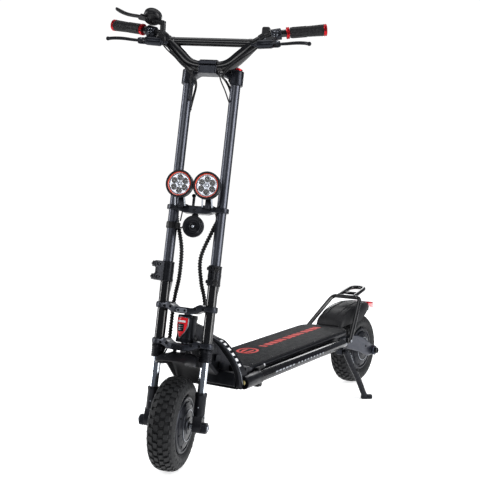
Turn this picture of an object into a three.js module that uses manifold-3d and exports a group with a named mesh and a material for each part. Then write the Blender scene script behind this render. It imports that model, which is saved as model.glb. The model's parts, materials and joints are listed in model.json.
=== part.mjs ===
// Electric kick scooter with a twin-tube fork, two hub motors and a folding stem.
// Millimetres. +X is the rider's left, +Y points to the rear and +Z up.
// The finished group stands on z = 0 with the middle of its bounding box on the Z axis.
import * as THREE from 'three';
import { mergeVertices } from 'three/addons/utils/BufferGeometryUtils.js';
import Module from 'manifold-3d';

const wasm = await Module();
wasm.setup();

// ---------------------------------------------------------------- driving dimensions
const WHEELBASE = 1190;
const TYRE_RADIUS = 140;
const TYRE_WIDTH = 83;
const RAKE = THREE.MathUtils.degToRad(12.2);
const REST_STEER = THREE.MathUtils.degToRad(20.4);

// Steered parts are drawn in the fork frame: its Z axis is the steering axis, its X axis is
// the front axle's direction and z = 0 is the axle's height. STEM_Y is the plane of the two
// stem tubes and AXLE_Y that of the front axle.
const STEM_Y = -24.7;
const AXLE_Y = -27.7;
const STEM_X = 75;
const STEM_RADIUS = 15.5;
const OUTER_TUBE_RADIUS = 16;
const OUTER_TUBE_BORE = 12.9;
const STANCHION_RADIUS = 12.5;
const LEG_RADIUS = 17;
const AXLE_RADIUS = 8;

const SEAL_BOTTOM = 190;
const SEAL_TOP = 229;
const LOWER_CLAMP_Z = 237;
const MIDDLE_CLAMP_Z = 346;
const HEAD_TUBE_BOTTOM = 241;
const HEAD_TUBE_TOP = 324;
const OUTER_TUBE_TOP = 424;
const STEM_TOP = 1074;
const SLEEVE_BOTTOM = 418;
const SLEEVE_TOP = 479;
const SLEEVE_RADIUS = 20;
const HINGE_Y = STEM_Y + 23;
const HINGE_Z = 424.3;
const LIGHT_BRACKET_Z = 645;
const HORN_Z = 589;

const DECK_FRONT = 262.5;
const DECK_REAR = 985;
const DECK_HALF_WIDTH = 97.5;
const DECK_BOTTOM = 205;
const DECK_RIM = 249.7;
const COVER_TOP = 263.7;
const MAT_TOP = 268;
const RAIL_X = 120;
const RAIL_Z = 231;
const SWING_PIVOT = { y: 938, z: 213 };
const KICKSTAND_PIVOT = { x: 127, y: 880, z: 196 };

const GAP = 0.3;
const SIDES = [['left', 1], ['right', -1]];

// ---------------------------------------------------------------- materials
function finish(color, roughness, metalness) {
  return () => new THREE.MeshStandardMaterial({ color, roughness, metalness });
}
const blackPaint = finish(0x1c1d21, 0.45, 0.3);
const slatePaint = finish(0x2c2f37, 0.5, 0.3);
const blackPlastic = finish(0x17181b, 0.6, 0);
const rubber = finish(0x1b1c1f, 0.9, 0);
const tyreRubber = finish(0x141517, 0.95, 0);
const chrome = finish(0xd4d8de, 0.12, 1);
const steel = finish(0x8c9096, 0.35, 1);
const badgeRed = finish(0xc8121c, 0.35, 0.1);
const lampSilver = finish(0xc4c8cf, 0.2, 0.8);
const lensRed = finish(0xc9162a, 0.2, 0);
const packBlue = finish(0x2a4f8f, 0.6, 0);
const castAluminium = finish(0x9a9da3, 0.45, 0.9);

// ---------------------------------------------------------------- solids
const V2 = (x, y) => new THREE.Vector2(x, y);
const V3 = (x, y, z) => new THREE.Vector3(x, y, z);

// Keeps positions only, merges equal vertices and drops the triangles that this collapses.
function welded(geometry) {
  const bare = geometry.clone();
  bare.deleteAttribute('normal');
  bare.deleteAttribute('uv');
  const merged = mergeVertices(bare, 1e-4);
  const index = merged.index.array;
  const kept = [];
  for (let i = 0; i < index.length; i += 3) {
    const [a, b, c] = [index[i], index[i + 1], index[i + 2]];
    if (a !== b && b !== c && c !== a) kept.push(a, b, c);
  }
  merged.setIndex(kept);
  return merged;
}

function toManifold(geometry) {
  const mesh = welded(geometry);
  return new wasm.Manifold(new wasm.Mesh({
    numProp: 3,
    vertProperties: new Float32Array(mesh.attributes.position.array),
    triVerts: new Uint32Array(mesh.index.array),
  }));
}

function toGeometry(manifold) {
  const mesh = manifold.getMesh();
  const geometry = new THREE.BufferGeometry();
  geometry.setAttribute('position', new THREE.Float32BufferAttribute(mesh.vertProperties, 3));
  geometry.setIndex(new THREE.BufferAttribute(new Uint32Array(mesh.triVerts), 1));
  geometry.computeVertexNormals();
  return geometry;
}

function join(first, ...rest) {
  return toGeometry(rest.reduce((sum, geometry) => sum.add(toManifold(geometry)), toManifold(first)));
}
function cut(body, ...tools) {
  return toGeometry(tools.reduce((left, tool) => left.subtract(toManifold(tool)), toManifold(body)));
}
function common(a, b) {
  return toGeometry(toManifold(a).intersect(toManifold(b)));
}

// A cylinder between two points.
function rod(from, to, radius, sides = 12) {
  const span = to.clone().sub(from);
  const turn = new THREE.Quaternion().setFromUnitVectors(V3(0, 1, 0), span.clone().normalize());
  const middle = from.clone().add(to).multiplyScalar(0.5);
  return new THREE.CylinderGeometry(radius, radius, span.length(), sides)
    .applyQuaternion(turn)
    .translate(middle.x, middle.y, middle.z);
}
const rodX = (x0, x1, y, z, radius, sides) => rod(V3(x0, y, z), V3(x1, y, z), radius, sides);
const rodZ = (x, y, z0, z1, radius, sides) => rod(V3(x, y, z0), V3(x, y, z1), radius, sides);

// The interval a..b of x on the left, mirrored on the right.
const sideSpan = (side, a, b) => (side > 0 ? [a, b] : [-b, -a]);

// A box from its centre and size.
function block(x, y, z, width, depth, height) {
  return new THREE.BoxGeometry(width, depth, height).translate(x, y, z);
}

// A turned piece: the profile lists [radius, height] and the axis is Z.
const turned = (profile, segments = 16) => turnedY(profile, segments).rotateX(Math.PI / 2);
// The same with its axis along X or Y.
const turnedX = (profile, segments) => turned(profile, segments).rotateY(Math.PI / 2);
function turnedY(profile, segments = 16) {
  return new THREE.LatheGeometry(profile.map(([radius, height]) => V2(radius, height)), segments);
}

// A tube wall: closed ring profile.
function pipe(inner, outer, z0, z1, segments = 16) {
  return turned([[inner, z0], [outer, z0], [outer, z1], [inner, z1], [inner, z0]], segments);
}

function outlineShape(points) {
  return new THREE.Shape(points.map(([u, v]) => V2(u, v)));
}
function extruded(shape, depth, basis) {
  const geometry = new THREE.ExtrudeGeometry(shape, { depth, bevelEnabled: false, curveSegments: 3 });
  return geometry.applyMatrix4(basis);
}
// Extrusions of a shape drawn in (x, y), in (x, z) and in (y, z).
function slabXY(shape, z0, z1) {
  return extruded(shape, z1 - z0, new THREE.Matrix4().makeTranslation(0, 0, z0));
}
function panelXZ(shape, y0, y1) {
  const basis = new THREE.Matrix4().makeBasis(V3(1, 0, 0), V3(0, 0, 1), V3(0, -1, 0));
  return extruded(shape, y1 - y0, basis.setPosition(0, y1, 0));
}
function plateYZ(shape, x0, x1) {
  const basis = new THREE.Matrix4().makeBasis(V3(0, 1, 0), V3(0, 0, 1), V3(1, 0, 0));
  return extruded(shape, x1 - x0, basis.setPosition(x0, 0, 0));
}

function roundedRect(u0, v0, u1, v1, r) {
  const shape = new THREE.Shape();
  shape.moveTo(u0 + r, v0).lineTo(u1 - r, v0).absarc(u1 - r, v0 + r, r, -Math.PI / 2, 0, false);
  shape.lineTo(u1, v1 - r).absarc(u1 - r, v1 - r, r, 0, Math.PI / 2, false);
  shape.lineTo(u0 + r, v1).absarc(u0 + r, v1 - r, r, Math.PI / 2, Math.PI, false);
  shape.lineTo(u0, v0 + r).absarc(u0 + r, v0 + r, r, Math.PI, Math.PI * 1.5, false);
  return shape;
}

function enclosedVolume(positions, index) {
  const corner = (i) => V3().fromArray(positions, 3 * index[i]);
  let volume = 0;
  for (let i = 0; i < index.length; i += 3) volume += corner(i).dot(corner(i + 1).cross(corner(i + 2))) / 6;
  return volume;
}

// A skin over a row of sections. Each has a counter-clockwise outline in its own XY plane and
// a matrix that places it; all outlines have the same number of points.
function loft(sections) {
  const count = sections[0].outline.length;
  const positions = [];
  for (const { outline, frame } of sections) {
    for (const point of outline) positions.push(...V3(point.x, point.y, 0).applyMatrix4(frame).toArray());
  }
  const index = [];
  for (let s = 0; s + 1 < sections.length; s += 1) {
    for (let i = 0; i < count; i += 1) {
      const a = s * count + i;
      const b = s * count + (i + 1) % count;
      index.push(a, b, b + count, a, b + count, a + count);
    }
  }
  const last = (sections.length - 1) * count;
  const caps = [[sections[0].outline, 0, true], [sections.at(-1).outline, last, false]];
  for (const [outline, offset, reversed] of caps) {
    for (const [a, b, c] of THREE.ShapeUtils.triangulateShape(outline, [])) {
      const clockwise = THREE.ShapeUtils.area([outline[a], outline[b], outline[c]]) < 0;
      index.push(...(clockwise === reversed ? [a, b, c] : [a, c, b]).map((i) => i + offset));
    }
  }
  const geometry = new THREE.BufferGeometry();
  geometry.setAttribute('position', new THREE.Float32BufferAttribute(positions, 3));
  geometry.setIndex(enclosedVolume(positions, index) < 0 ? index.reverse() : index);
  return geometry;
}

// A round bar of changing radius through [x, y, z, radius] points.
function sweep(points, sides = 16, stepsPerSpan = 3, up = V3(0, 0, 1)) {
  const curve = new THREE.CatmullRomCurve3(points.map(([x, y, z]) => V3(x, y, z)), false, 'centripetal');
  const spans = points.length - 1;
  const steps = spans * stepsPerSpan;
  const sections = [];
  for (let i = 0; i <= steps; i += 1) {
    const t = i / steps;
    const span = Math.min(Math.floor(t * spans), spans - 1);
    const radius = THREE.MathUtils.lerp(points[span][3], points[span + 1][3], t * spans - span);
    const tangent = curve.getTangent(t);
    const across = V3(0, 0, 0).crossVectors(up, tangent).normalize();
    const normal = V3(0, 0, 0).crossVectors(tangent, across);
    const outline = [];
    for (let k = 0; k < sides; k += 1) {
      const angle = (k / sides) * 2 * Math.PI;
      outline.push(V2(radius * Math.cos(angle), radius * Math.sin(angle)));
    }
    const frame = new THREE.Matrix4().makeBasis(across, normal, tangent).setPosition(curve.getPoint(t));
    sections.push({ outline, frame });
  }
  return loft(sections);
}

// A bent tube of one radius, as an extrusion along its centre line.
function bentTube(points, radius, sides, steps) {
  const curve = new THREE.CatmullRomCurve3(points.map(([x, y, z]) => V3(x, y, z)), false, 'centripetal');
  const circle = new THREE.Shape();
  for (let k = 0; k < sides; k += 1) {
    const angle = (k / sides) * 2 * Math.PI;
    const [u, v] = [radius * Math.cos(angle), radius * Math.sin(angle)];
    if (k === 0) circle.moveTo(u, v);
    else circle.lineTo(u, v);
  }
  return new THREE.ExtrudeGeometry(circle, { steps, extrudePath: curve });
}

// The cross-section of a mudguard: a rounded arch of half-width w whose sides hang d below
// its top at v = 0, and its inner side at the wall's thickness.
function archOutline(w, d, wall) {
  const arcSteps = 6;
  const outer = [];
  const inner = [];
  for (let i = 0; i <= arcSteps; i += 1) {
    const angle = Math.PI * (i / arcSteps);
    const squareness = 0.55;
    const c = Math.sign(Math.cos(angle)) * Math.abs(Math.cos(angle)) ** squareness;
    const s = Math.sin(angle) ** squareness;
    outer.push(V2(w * c, d * (s - 1)));
    inner.push(V2((w - wall) * c, (d - wall) * s - d));
  }
  return [...outer, ...inner.reverse()];
}

// ---------------------------------------------------------------- scene graph
const scooter = new THREE.Group();
const tilted = new THREE.Group();
tilted.position.set(0, -AXLE_Y * Math.cos(RAKE), TYRE_RADIUS + AXLE_Y * Math.sin(RAKE));
tilted.rotation.x = -RAKE;
const steered = new THREE.Group();
steered.rotation.z = REST_STEER;
tilted.add(steered);
scooter.add(tilted);

function part(parent, name, geometry, material) {
  const mesh = new THREE.Mesh(geometry, material());
  mesh.name = name;
  parent.add(mesh);
  return mesh;
}

// ---------------------------------------------------------------- wheels
function tyre() {
  const half = TYRE_WIDTH / 2;
  const bead = 80.5;
  const wall = 7;
  return turnedX([
    [bead, -26], [108, -half], [126, -half + 4], [137, -27], [TYRE_RADIUS, -12], [TYRE_RADIUS, 12],
    [137, 27], [126, half - 4], [108, half], [bead, 26], [bead, 26 - wall], [106, half - wall],
    [128, 20], [128, -20], [106, -half + wall], [bead, -26 + wall], [bead, -26],
  ], 24);
}

// The hub motor is also the wheel's rim: a drum with two bearing covers around the axle.
function hubMotor() {
  const rim = 78.6;
  const bore = AXLE_RADIUS + GAP;
  return turnedX([
    [bore, -51], [25, -49], [56, -44], [84, -36.5], [rim, -24], [rim, 24], [84, 36.5], [56, 44],
    [25, 49], [bore, 51], [bore, -51],
  ], 18);
}

function wheel(parent, prefix, y, z) {
  part(parent, `${prefix}_tyre`, tyre(), tyreRubber).position.set(0, y, z);
  part(parent, `${prefix}_motor`, hubMotor(), blackPaint).position.set(0, y, z);
}
wheel(steered, 'front', AXLE_Y, 0);
wheel(scooter, 'rear', WHEELBASE, TYRE_RADIUS);

// ---------------------------------------------------------------- fork, sprung lower part
function stanchion() {
  return rodZ(0, 0, 46, 300, STANCHION_RADIUS, 18);
}

// A lower leg with its socket for the stanchion and the axle lug that ends in a round block.
function forkLeg(side) {
  const dy = AXLE_Y - STEM_Y;
  const lug = new THREE.Shape();
  lug.absarc(dy, 0, 18, Math.PI, Math.PI * 2, false);
  lug.lineTo(15, 30).lineTo(-17, 30);
  const body = join(
    rodZ(0, 0, 24, 100, LEG_RADIUS, 14),
    plateYZ(lug, ...sideSpan(side, -14, 16)),
    plateYZ(roundedRect(dy - 15, -16, dy + 15, 14, 7), ...sideSpan(side, 15.5, 30)),
  );
  return cut(
    body,
    rodZ(0, 0, 45, 101, STANCHION_RADIUS + GAP, 18),
    rodX(...sideSpan(side, -40, 25.6), dy, 0, AXLE_RADIUS + GAP, 16),
  );
}

for (const [name, side] of SIDES) {
  part(steered, `stanchion_${name}`, stanchion(), chrome).position.set(side * STEM_X, STEM_Y, 0);
  part(steered, `fork_leg_${name}`, forkLeg(side), blackPaint).position.set(side * STEM_X, STEM_Y, 0);
}
part(steered, 'front_axle', rodX(-100, 100, AXLE_Y, 0, AXLE_RADIUS), steel);

// ---------------------------------------------------------------- fork, upper part
// The outer tube ends below in its dust seal housing. Behind its top are two hinge ears and
// the fold pin.
function outerTube() {
  const tube = turned([
    [0, 400], [OUTER_TUBE_BORE, 400], [OUTER_TUBE_BORE, SEAL_BOTTOM], [20, SEAL_BOTTOM],
    [20, SEAL_TOP - 2], [OUTER_TUBE_RADIUS, SEAL_TOP], [OUTER_TUBE_RADIUS, OUTER_TUBE_TOP],
    [0, OUTER_TUBE_TOP],
  ], 18);
  const web = outlineShape([[10, 390], [16, 390], [30, OUTER_TUBE_TOP], [10, OUTER_TUBE_TOP]]);
  const hingeY = HINGE_Y - STEM_Y;
  const ears = SIDES.map(([, side]) => {
    const across = sideSpan(side, 5.3, 12);
    return join(plateYZ(web, ...across), rodX(...across, hingeY, HINGE_Z, 7));
  });
  return join(tube, ...ears, rodX(-12.8, 12.8, hingeY, HINGE_Z, 3, 16));
}
for (const [name, side] of SIDES) {
  part(steered, `outer_tube_${name}`, outerTube(), blackPaint).position.set(side * STEM_X, STEM_Y, 0);
}
part(steered, 'steerer_tube', pipe(9, STANCHION_RADIUS, 221, 345, 18), steel);

// The plan of a clamp across both tubes: round ends, a nose in front of the stem plane and,
// where it holds the steerer, a round boss on the steering axis.
function clampPlan(nose, boss) {
  const end = 22;
  const shape = new THREE.Shape();
  shape.moveTo(-STEM_X, STEM_Y - end);
  shape.lineTo(-18, STEM_Y - nose).lineTo(18, STEM_Y - nose).lineTo(STEM_X, STEM_Y - end);
  shape.absarc(STEM_X, STEM_Y, end, -Math.PI / 2, Math.PI / 2, false);
  if (boss > 0) shape.absarc(0, 0, boss, 0.3, Math.PI - 0.3, false);
  else shape.lineTo(30, STEM_Y + 8).lineTo(-30, STEM_Y + 8);
  shape.lineTo(-STEM_X, STEM_Y + end);
  shape.absarc(-STEM_X, STEM_Y, end, Math.PI / 2, Math.PI * 1.5, false);
  return shape;
}

// A clamp is its plan, cut to a front outline that is given for one half, from the middle of
// the underside to the middle of the top, and bored for what it holds.
function clamp(nose, boss, half, tubeRadius) {
  const outline = [...half, ...half.slice(1, -1).reverse().map(([x, z]) => [-x, z])];
  const low = Math.min(...half.map(([, z]) => z)) - 1;
  const high = Math.max(...half.map(([, z]) => z)) + 1;
  const body = common(slabXY(clampPlan(nose, boss), low, high), panelXZ(outlineShape(outline), -120, 60));
  const bores = SIDES.map(([, side]) => (
    rodZ(side * STEM_X, STEM_Y, low - 1, high + 1, tubeRadius + GAP, 18)
  ));
  return cut(body, ...bores);
}
function forkClamp(z) {
  const half = [
    [0, z - 18], [34, z - 17], [50, z - 9], [62, z - 6], [98, z - 5], [98, z + 7], [62, z + 8],
    [52, z + 14], [42, z + 9], [31, z + 1], [0, z],
  ];
  const steererBore = rodZ(0, 0, z - 30, z + 30, STANCHION_RADIUS + 2 * GAP, 18);
  return cut(clamp(48, 27, half, OUTER_TUBE_RADIUS), steererBore);
}
part(steered, 'lower_clamp', forkClamp(LOWER_CLAMP_Z), slatePaint);
part(steered, 'middle_clamp', forkClamp(MIDDLE_CLAMP_Z), slatePaint);

// Sections of the front mudguard: angle ahead of the vertical at the axle, radius of its top,
// half width and depth of the sides. It is narrow between the outer tubes.
function frontFender() {
  const stations = [
    [26, 211, 42, 8], [19, 211, 58, 24], [10, 211, 60, 34], [4, 211, 52.5, 38], [-8, 211, 52.5, 38],
    [-20, 207, 56, 36], [-34, 199, 54, 30], [-45, 190, 48, 18], [-52, 184, 32, 8],
  ];
  const sections = stations.map(([degrees, radius, width, depth]) => {
    const angle = THREE.MathUtils.degToRad(degrees);
    const up = V3(0, -Math.sin(angle), Math.cos(angle));
    const along = V3(1, 0, 0).cross(up);
    const place = up.clone().multiplyScalar(radius).add(V3(0, AXLE_Y, 0));
    return {
      outline: archOutline(width, depth, 3),
      frame: new THREE.Matrix4().makeBasis(V3(1, 0, 0), up, along).setPosition(place),
    };
  });
  const posts = SIDES.map(([, side]) => rodZ(side * 20, STEM_Y - 8, 207, LOWER_CLAMP_Z - 18 - GAP, 6, 10));
  return join(loft(sections), ...posts);
}
part(steered, 'front_fender', frontFender(), blackPlastic);

// ---------------------------------------------------------------- folding stem
// A stem tube with the single hinge lug that turns on the fold pin.
function stemTube() {
  const hingeY = HINGE_Y - STEM_Y;
  const foot = HINGE_Z + GAP;
  const tube = turned([
    [0, foot], [STEM_RADIUS, foot], [STEM_RADIUS, STEM_TOP], [12.6, STEM_TOP], [12.6, 452], [0, 452],
  ], 18);
  const web = outlineShape([[10, foot], [hingeY + 6.5, foot], [17, foot + 25], [10, foot + 25]]);
  return cut(
    join(tube, plateYZ(web, -4.9, 4.9), rodX(-4.9, 4.9, hingeY, HINGE_Z, 6.7)),
    rodX(-6, 6, hingeY, HINGE_Z, 3.3, 16),
  );
}

// A split locking sleeve: open behind for the hinge, with two pinch ears and two bolts with
// round knobs. The ears point forward, turned by the given angle.
function foldSleeve(side, earTurn) {
  const middle = (SLEEVE_BOTTOM + SLEEVE_TOP) / 2;
  const height = SLEEVE_TOP - SLEEVE_BOTTOM;
  const boltY = -37;
  const bolts = [SLEEVE_BOTTOM + 11, SLEEVE_TOP - 11].map((z) => join(
    rodX(...sideSpan(side, -19, 14), boltY, z, 4.5, 8),
    rodX(...sideSpan(side, 13, 22), boltY, z, 8, 10),
  ));
  const ears = cut(
    block(0, -31, middle, 17, 28, height),
    block(0, -36, middle, 2, 40, height + 2),
  );
  const clampPart = join(ears, ...bolts).rotateZ(earTurn);
  return cut(
    join(pipe(14, SLEEVE_RADIUS, SLEEVE_BOTTOM, SLEEVE_TOP), clampPart),
    rodZ(0, 0, SLEEVE_BOTTOM - 1, SLEEVE_TOP + 1, OUTER_TUBE_RADIUS + 0.8, 18),
    block(0, 19, middle, 26.4, 22, height + 2),
  );
}
const EAR_TURN = { left: 0, right: THREE.MathUtils.degToRad(-38) };
for (const [name, side] of SIDES) {
  const tubeAxis = [side * STEM_X, STEM_Y, 0];
  part(steered, `stem_tube_${name}`, stemTube(), blackPaint).position.set(...tubeAxis);
  const sleeve = foldSleeve(side, EAR_TURN[name]);
  part(steered, `fold_sleeve_${name}`, sleeve, blackPaint).position.set(...tubeAxis);
}

// ---------------------------------------------------------------- lights and horn
const LIGHT = { x: 42.3, y: STEM_Y - 80, z: 708, radius: 41.5, depth: 38 };

function lightBracket() {
  const z = LIGHT_BRACKET_Z;
  const half = [
    [0, z - 17], [36, z - 16], [52, z - 9], [98, z - 7], [98, z + 7], [62, z + 8], [48, z + 13],
    [34, z + 7], [0, z + 6],
  ];
  const backY = LIGHT.y + LIGHT.depth + GAP;
  const posts = SIDES.map(([, side]) => join(
    block(side * LIGHT.x, backY + 1.5, z + 35, 18, 3, 72),
    block(side * LIGHT.x * 0.8, STEM_Y - 25, z + 4, 26, 34, 8),
  ));
  return join(clamp(34, 0, half, STEM_RADIUS), ...posts);
}
part(steered, 'light_bracket', lightBracket(), slatePaint);

// A finned lamp housing. Its face is at y = 0 and looks forward.
function headlight() {
  const { radius, depth } = LIGHT;
  return turnedY([
    [0, 5], [radius - 6, 3], [radius - 6, 0], [radius, 0], [radius, 14], [radius - 5, 14], [radius - 5, 18],
    [radius - 2, 18], [radius - 2, 22], [radius - 14, 28], [radius - 14, depth], [0, depth],
  ], 16);
}
for (const [name, side] of SIDES) {
  part(steered, `headlight_${name}`, headlight(), lampSilver).position.set(side * LIGHT.x, LIGHT.y, LIGHT.z);
}

// A round horn under the light bracket, hung from a strap.
function horn() {
  const face = turnedY([
    [0, -2], [5, -2], [5, 2], [14, 4], [24, 2], [28, 0], [33, 0], [33, 10], [26, 15], [22, 30], [0, 30],
  ], 14);
  const strapBottom = 10;
  const strapTop = LIGHT_BRACKET_Z - 17 - GAP - HORN_Z;
  return join(face, block(0, 13, (strapBottom + strapTop) / 2, 20, 4, strapTop - strapBottom));
}
part(steered, 'horn', horn(), blackPaint).position.set(0, STEM_Y - 32, HORN_Z);

// ---------------------------------------------------------------- handlebar
const BAR_Z = 1071;
const BAR_Y = STEM_Y - 50;

// Centre line and radius of one half of the bar, from the middle outwards.
const BAR_HALF = [
  [0, BAR_Y, BAR_Z, 16], [36, BAR_Y, BAR_Z, 16], [66, BAR_Y, 1080, 16], [98, BAR_Y - 1, 1108, 16],
  [130, BAR_Y - 2, 1139, 15], [162, BAR_Y - 1, 1163, 12.5], [190, BAR_Y + 1, 1174, 11],
  [222, BAR_Y + 6, 1181, 11], [281, BAR_Y + 20, 1192.5, 11], [336, BAR_Y + 33, 1203, 11],
];
function handlebar(extra) {
  const half = BAR_HALF.map(([x, y, z, r]) => [x + (x > 300 ? extra : 0), y, z, r + extra]);
  const mirrored = half.slice(1).reverse().map(([x, y, z, r]) => [-x, y, z, r]);
  return sweep([...mirrored, ...half], 12, 1);
}
const barClearance = handlebar(GAP);

// A stretch of a collar around the bar between two of its stations.
function barCollar(side, from, to, radius) {
  const [a, b] = [from, to].map(([x, y, z]) => V3(side * x, y, z));
  return rod(a, b, radius, 12);
}

function topClamp() {
  const half = [
    [0, 1057], [40, 1055], [56, 1046], [58, 1027], [95, 1027], [95, 1072], [60, 1073], [48, 1080],
    [34, 1077], [0, 1077],
  ];
  const seat = block(0, BAR_Y + 3, BAR_Z - 13, 58, 42, 24);
  return cut(join(clamp(34, 0, half, STEM_RADIUS), seat), barClearance);
}
part(steered, 'top_clamp', topClamp(), slatePaint);
const barCap = panelXZ(roundedRect(-29, BAR_Z + 1, 29, BAR_Z + 19, 4), BAR_Y - 18, BAR_Y + 15.5);
part(steered, 'handlebar_clamp', cut(barCap, barClearance), slatePaint);
part(steered, 'handlebar', handlebar(0), blackPaint);
part(steered, 'crossbar', cut(rodX(-132, 132, BAR_Y - 2, 1145, 11.5, 14), barClearance), blackPaint);

function grip(side) {
  const start = V3(222, BAR_Y + 6, 1181);
  const along = V3(114, 27, 22).normalize();
  const stations = [[2, 17.5], [13, 17.5], [14, 15.5], [60, 15.5], [98, 17], [121, 17.5]];
  const points = stations.map(([distance, radius]) => {
    const p = start.clone().addScaledVector(along, distance);
    return [side * p.x, p.y, p.z, radius];
  });
  return cut(sweep(points, 12, 1), barClearance);
}
for (const [name, side] of SIDES) {
  part(steered, `grip_${name}`, grip(side), rubber);
}

// ---------------------------------------------------------------- hand controls
// A lever's frame: origin on its pivot, X towards its tip and Y towards the grip it is pulled
// to, so that it turns about Z.
function leverFrame(pivot, tip, target) {
  const x = tip.clone().sub(pivot).normalize();
  const pull = target.clone().sub(tip);
  const y = pull.addScaledVector(x, -pull.dot(x)).normalize();
  return new THREE.Matrix4().makeBasis(x, y, x.clone().cross(y)).setPosition(pivot);
}
function putInFrame(mesh, frame) {
  frame.decompose(mesh.position, mesh.quaternion, mesh.scale);
}
const brakeFrame = (side) => leverFrame(
  V3(side * 212, STEM_Y - 90, 1132), V3(side * 306, STEM_Y - 104, 1134), V3(side * 306, STEM_Y - 25, 1197),
);

// A master cylinder with its bar clamp, its hose end and two ears that hold the lever's pin.
function brakeBody(side) {
  const frame = brakeFrame(side);
  const ears = SIDES.map(([, half]) => {
    const [z0, z1] = sideSpan(half, 3.6, 7.5);
    return join(rodZ(0, 0, z0, z1, 9, 10), block(-9, 0, (z0 + z1) / 2, 18, 14, z1 - z0));
  });
  const body = join(
    rodX(-66, -11, 4, 0, 11, 10),
    rodX(-84, -60, 4, 0, 5, 8),
    block(-30, 20, 2, 22, 34, 13),
    rodZ(0, 0, -7, 7, 2.4, 12),
    ...ears,
  ).applyMatrix4(frame);
  const arm = rod(V3(-28, 30, 4).applyMatrix4(frame), V3(side * 196, BAR_Y + 2, 1174), 8, 10);
  const collar = barCollar(side, [186, BAR_Y + 1, 1172.5], [206, BAR_Y + 3.5, 1177.5], 16);
  return cut(join(body, arm, collar), barClearance);
}

// The blade hooks outwards at its tip.
function brakeLever() {
  const blade = new THREE.Shape();
  blade.moveTo(-4, -6).lineTo(30, -4);
  blade.quadraticCurveTo(60, 3, 86, -7).lineTo(96, -12).lineTo(99, -6);
  blade.quadraticCurveTo(88, 6, 62, 9).lineTo(30, 5).lineTo(-4, 6);
  const bladeHalf = 3;
  return cut(
    join(slabXY(blade, -bladeHalf, bladeHalf), rodZ(0, 0, -bladeHalf, bladeHalf, 8)),
    rodZ(0, 0, -8, 8, 2.7, 16),
  );
}
for (const [name, side] of SIDES) {
  part(steered, `brake_body_${name}`, brakeBody(side), slatePaint);
  putInFrame(part(steered, `brake_lever_${name}`, brakeLever(), blackPaint), brakeFrame(side));
}

// The round display on the right of the bar, and the throttle trigger on its outer side.
const DISPLAY = {
  x: -196, y: STEM_Y - 56, z: 1217, radius: 28.5, half: 12, tilt: THREE.MathUtils.degToRad(-28),
};
const throttleFrame = leverFrame(
  V3(-226, STEM_Y - 74, 1211), V3(-300, STEM_Y - 66, 1228), V3(-300, STEM_Y - 26, 1198),
);

function display() {
  const { radius, half } = DISPLAY;
  const profile = [
    [0, -half], [radius - 4, -half], [radius, -half + 5], [radius, half - 2], [radius - 3, half], [0, half],
  ];
  const puck = turned(profile)
    .rotateX(DISPLAY.tilt)
    .translate(DISPLAY.x, DISPLAY.y, DISPLAY.z);
  const collar = barCollar(-1, [146, BAR_Y - 1.6, 1152], [161, BAR_Y - 1, 1162.5], 17);
  const post = rod(V3(-159, BAR_Y, 1164), V3(-161, BAR_Y - 2, 1206), 9);
  const bridge = rod(V3(-159, BAR_Y - 2, 1200), V3(-194, STEM_Y - 54, 1209), 8.5);
  const lugs = [[-8, -3.4], [3.4, 8]].map(([z0, z1]) => join(
    rodZ(0, 0, z0, z1, 7, 16),
    block(-10, 1, (z0 + z1) / 2, 22, 10, z1 - z0),
  ));
  const pin = rodZ(0, 0, -7.5, 7.5, 2.4, 12);
  const hinge = join(pin, ...lugs).applyMatrix4(throttleFrame);
  const arm = rod(V3(-215, STEM_Y - 71, 1209), V3(-204, STEM_Y - 62, 1214), 7, 12);
  return cut(join(puck, collar, post, bridge, hinge, arm), barClearance);
}
part(steered, 'display', display(), blackPlastic);

function throttleTrigger() {
  const blade = new THREE.Shape();
  blade.moveTo(-4, -5).lineTo(24, -4);
  blade.quadraticCurveTo(52, 2, 84, -10).lineTo(90, -4);
  blade.quadraticCurveTo(56, 10, 24, 5).lineTo(-4, 5);
  return cut(
    join(slabXY(blade, -3, 3), rodZ(0, 0, -3, 3, 6.5, 16)),
    rodZ(0, 0, -8, 8, 2.7, 16),
  );
}
putInFrame(part(steered, 'throttle_trigger', throttleTrigger(), blackPlastic), throttleFrame);

// The switch pod on the left of the bar; its horn button sits in a blind hole and faces the rider.
const BUTTON = { x: 165, y: BAR_Y + 15, z: 1186, radius: 5 };
function switchPod() {
  const pod = join(
    barCollar(1, [150, BAR_Y - 1.4, 1154], [165, BAR_Y - 0.8, 1164.5], 16.5),
    block(165, BAR_Y + 2, 1181, 24, 26, 26),
  );
  const { x, y, z, radius } = BUTTON;
  const hole = rod(V3(x, y - 5, z), V3(x, y + 2, z), radius + GAP, 12);
  return cut(pod, barClearance, hole);
}
part(steered, 'switch_pod', switchPod(), blackPlastic);
const hornButton = rod(V3(0, -2.6, 0), V3(0, 3, 0), BUTTON.radius, 12);
part(steered, 'horn_button', hornButton, badgeRed).position.set(BUTTON.x, BUTTON.y, BUTTON.z);

// ---------------------------------------------------------------- head tube and neck
const headTube = turned([
  [24.3, HEAD_TUBE_BOTTOM], [30, HEAD_TUBE_BOTTOM], [30, HEAD_TUBE_TOP], [24.3, HEAD_TUBE_TOP],
  [24.3, HEAD_TUBE_TOP - 12.5], [20, HEAD_TUBE_TOP - 12.5], [20, HEAD_TUBE_BOTTOM + 12.5],
  [24.3, HEAD_TUBE_BOTTOM + 12.5], [24.3, HEAD_TUBE_BOTTOM],
], 20);
part(tilted, 'head_tube', headTube, blackPaint);
const BEARING_SEATS = [['upper', HEAD_TUBE_TOP - 12], ['lower', HEAD_TUBE_BOTTOM]];
for (const [name, z] of BEARING_SEATS) {
  part(tilted, `bearing_${name}`, pipe(STANCHION_RADIUS + GAP, 24, z, z + 12, 18), steel);
}

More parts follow.
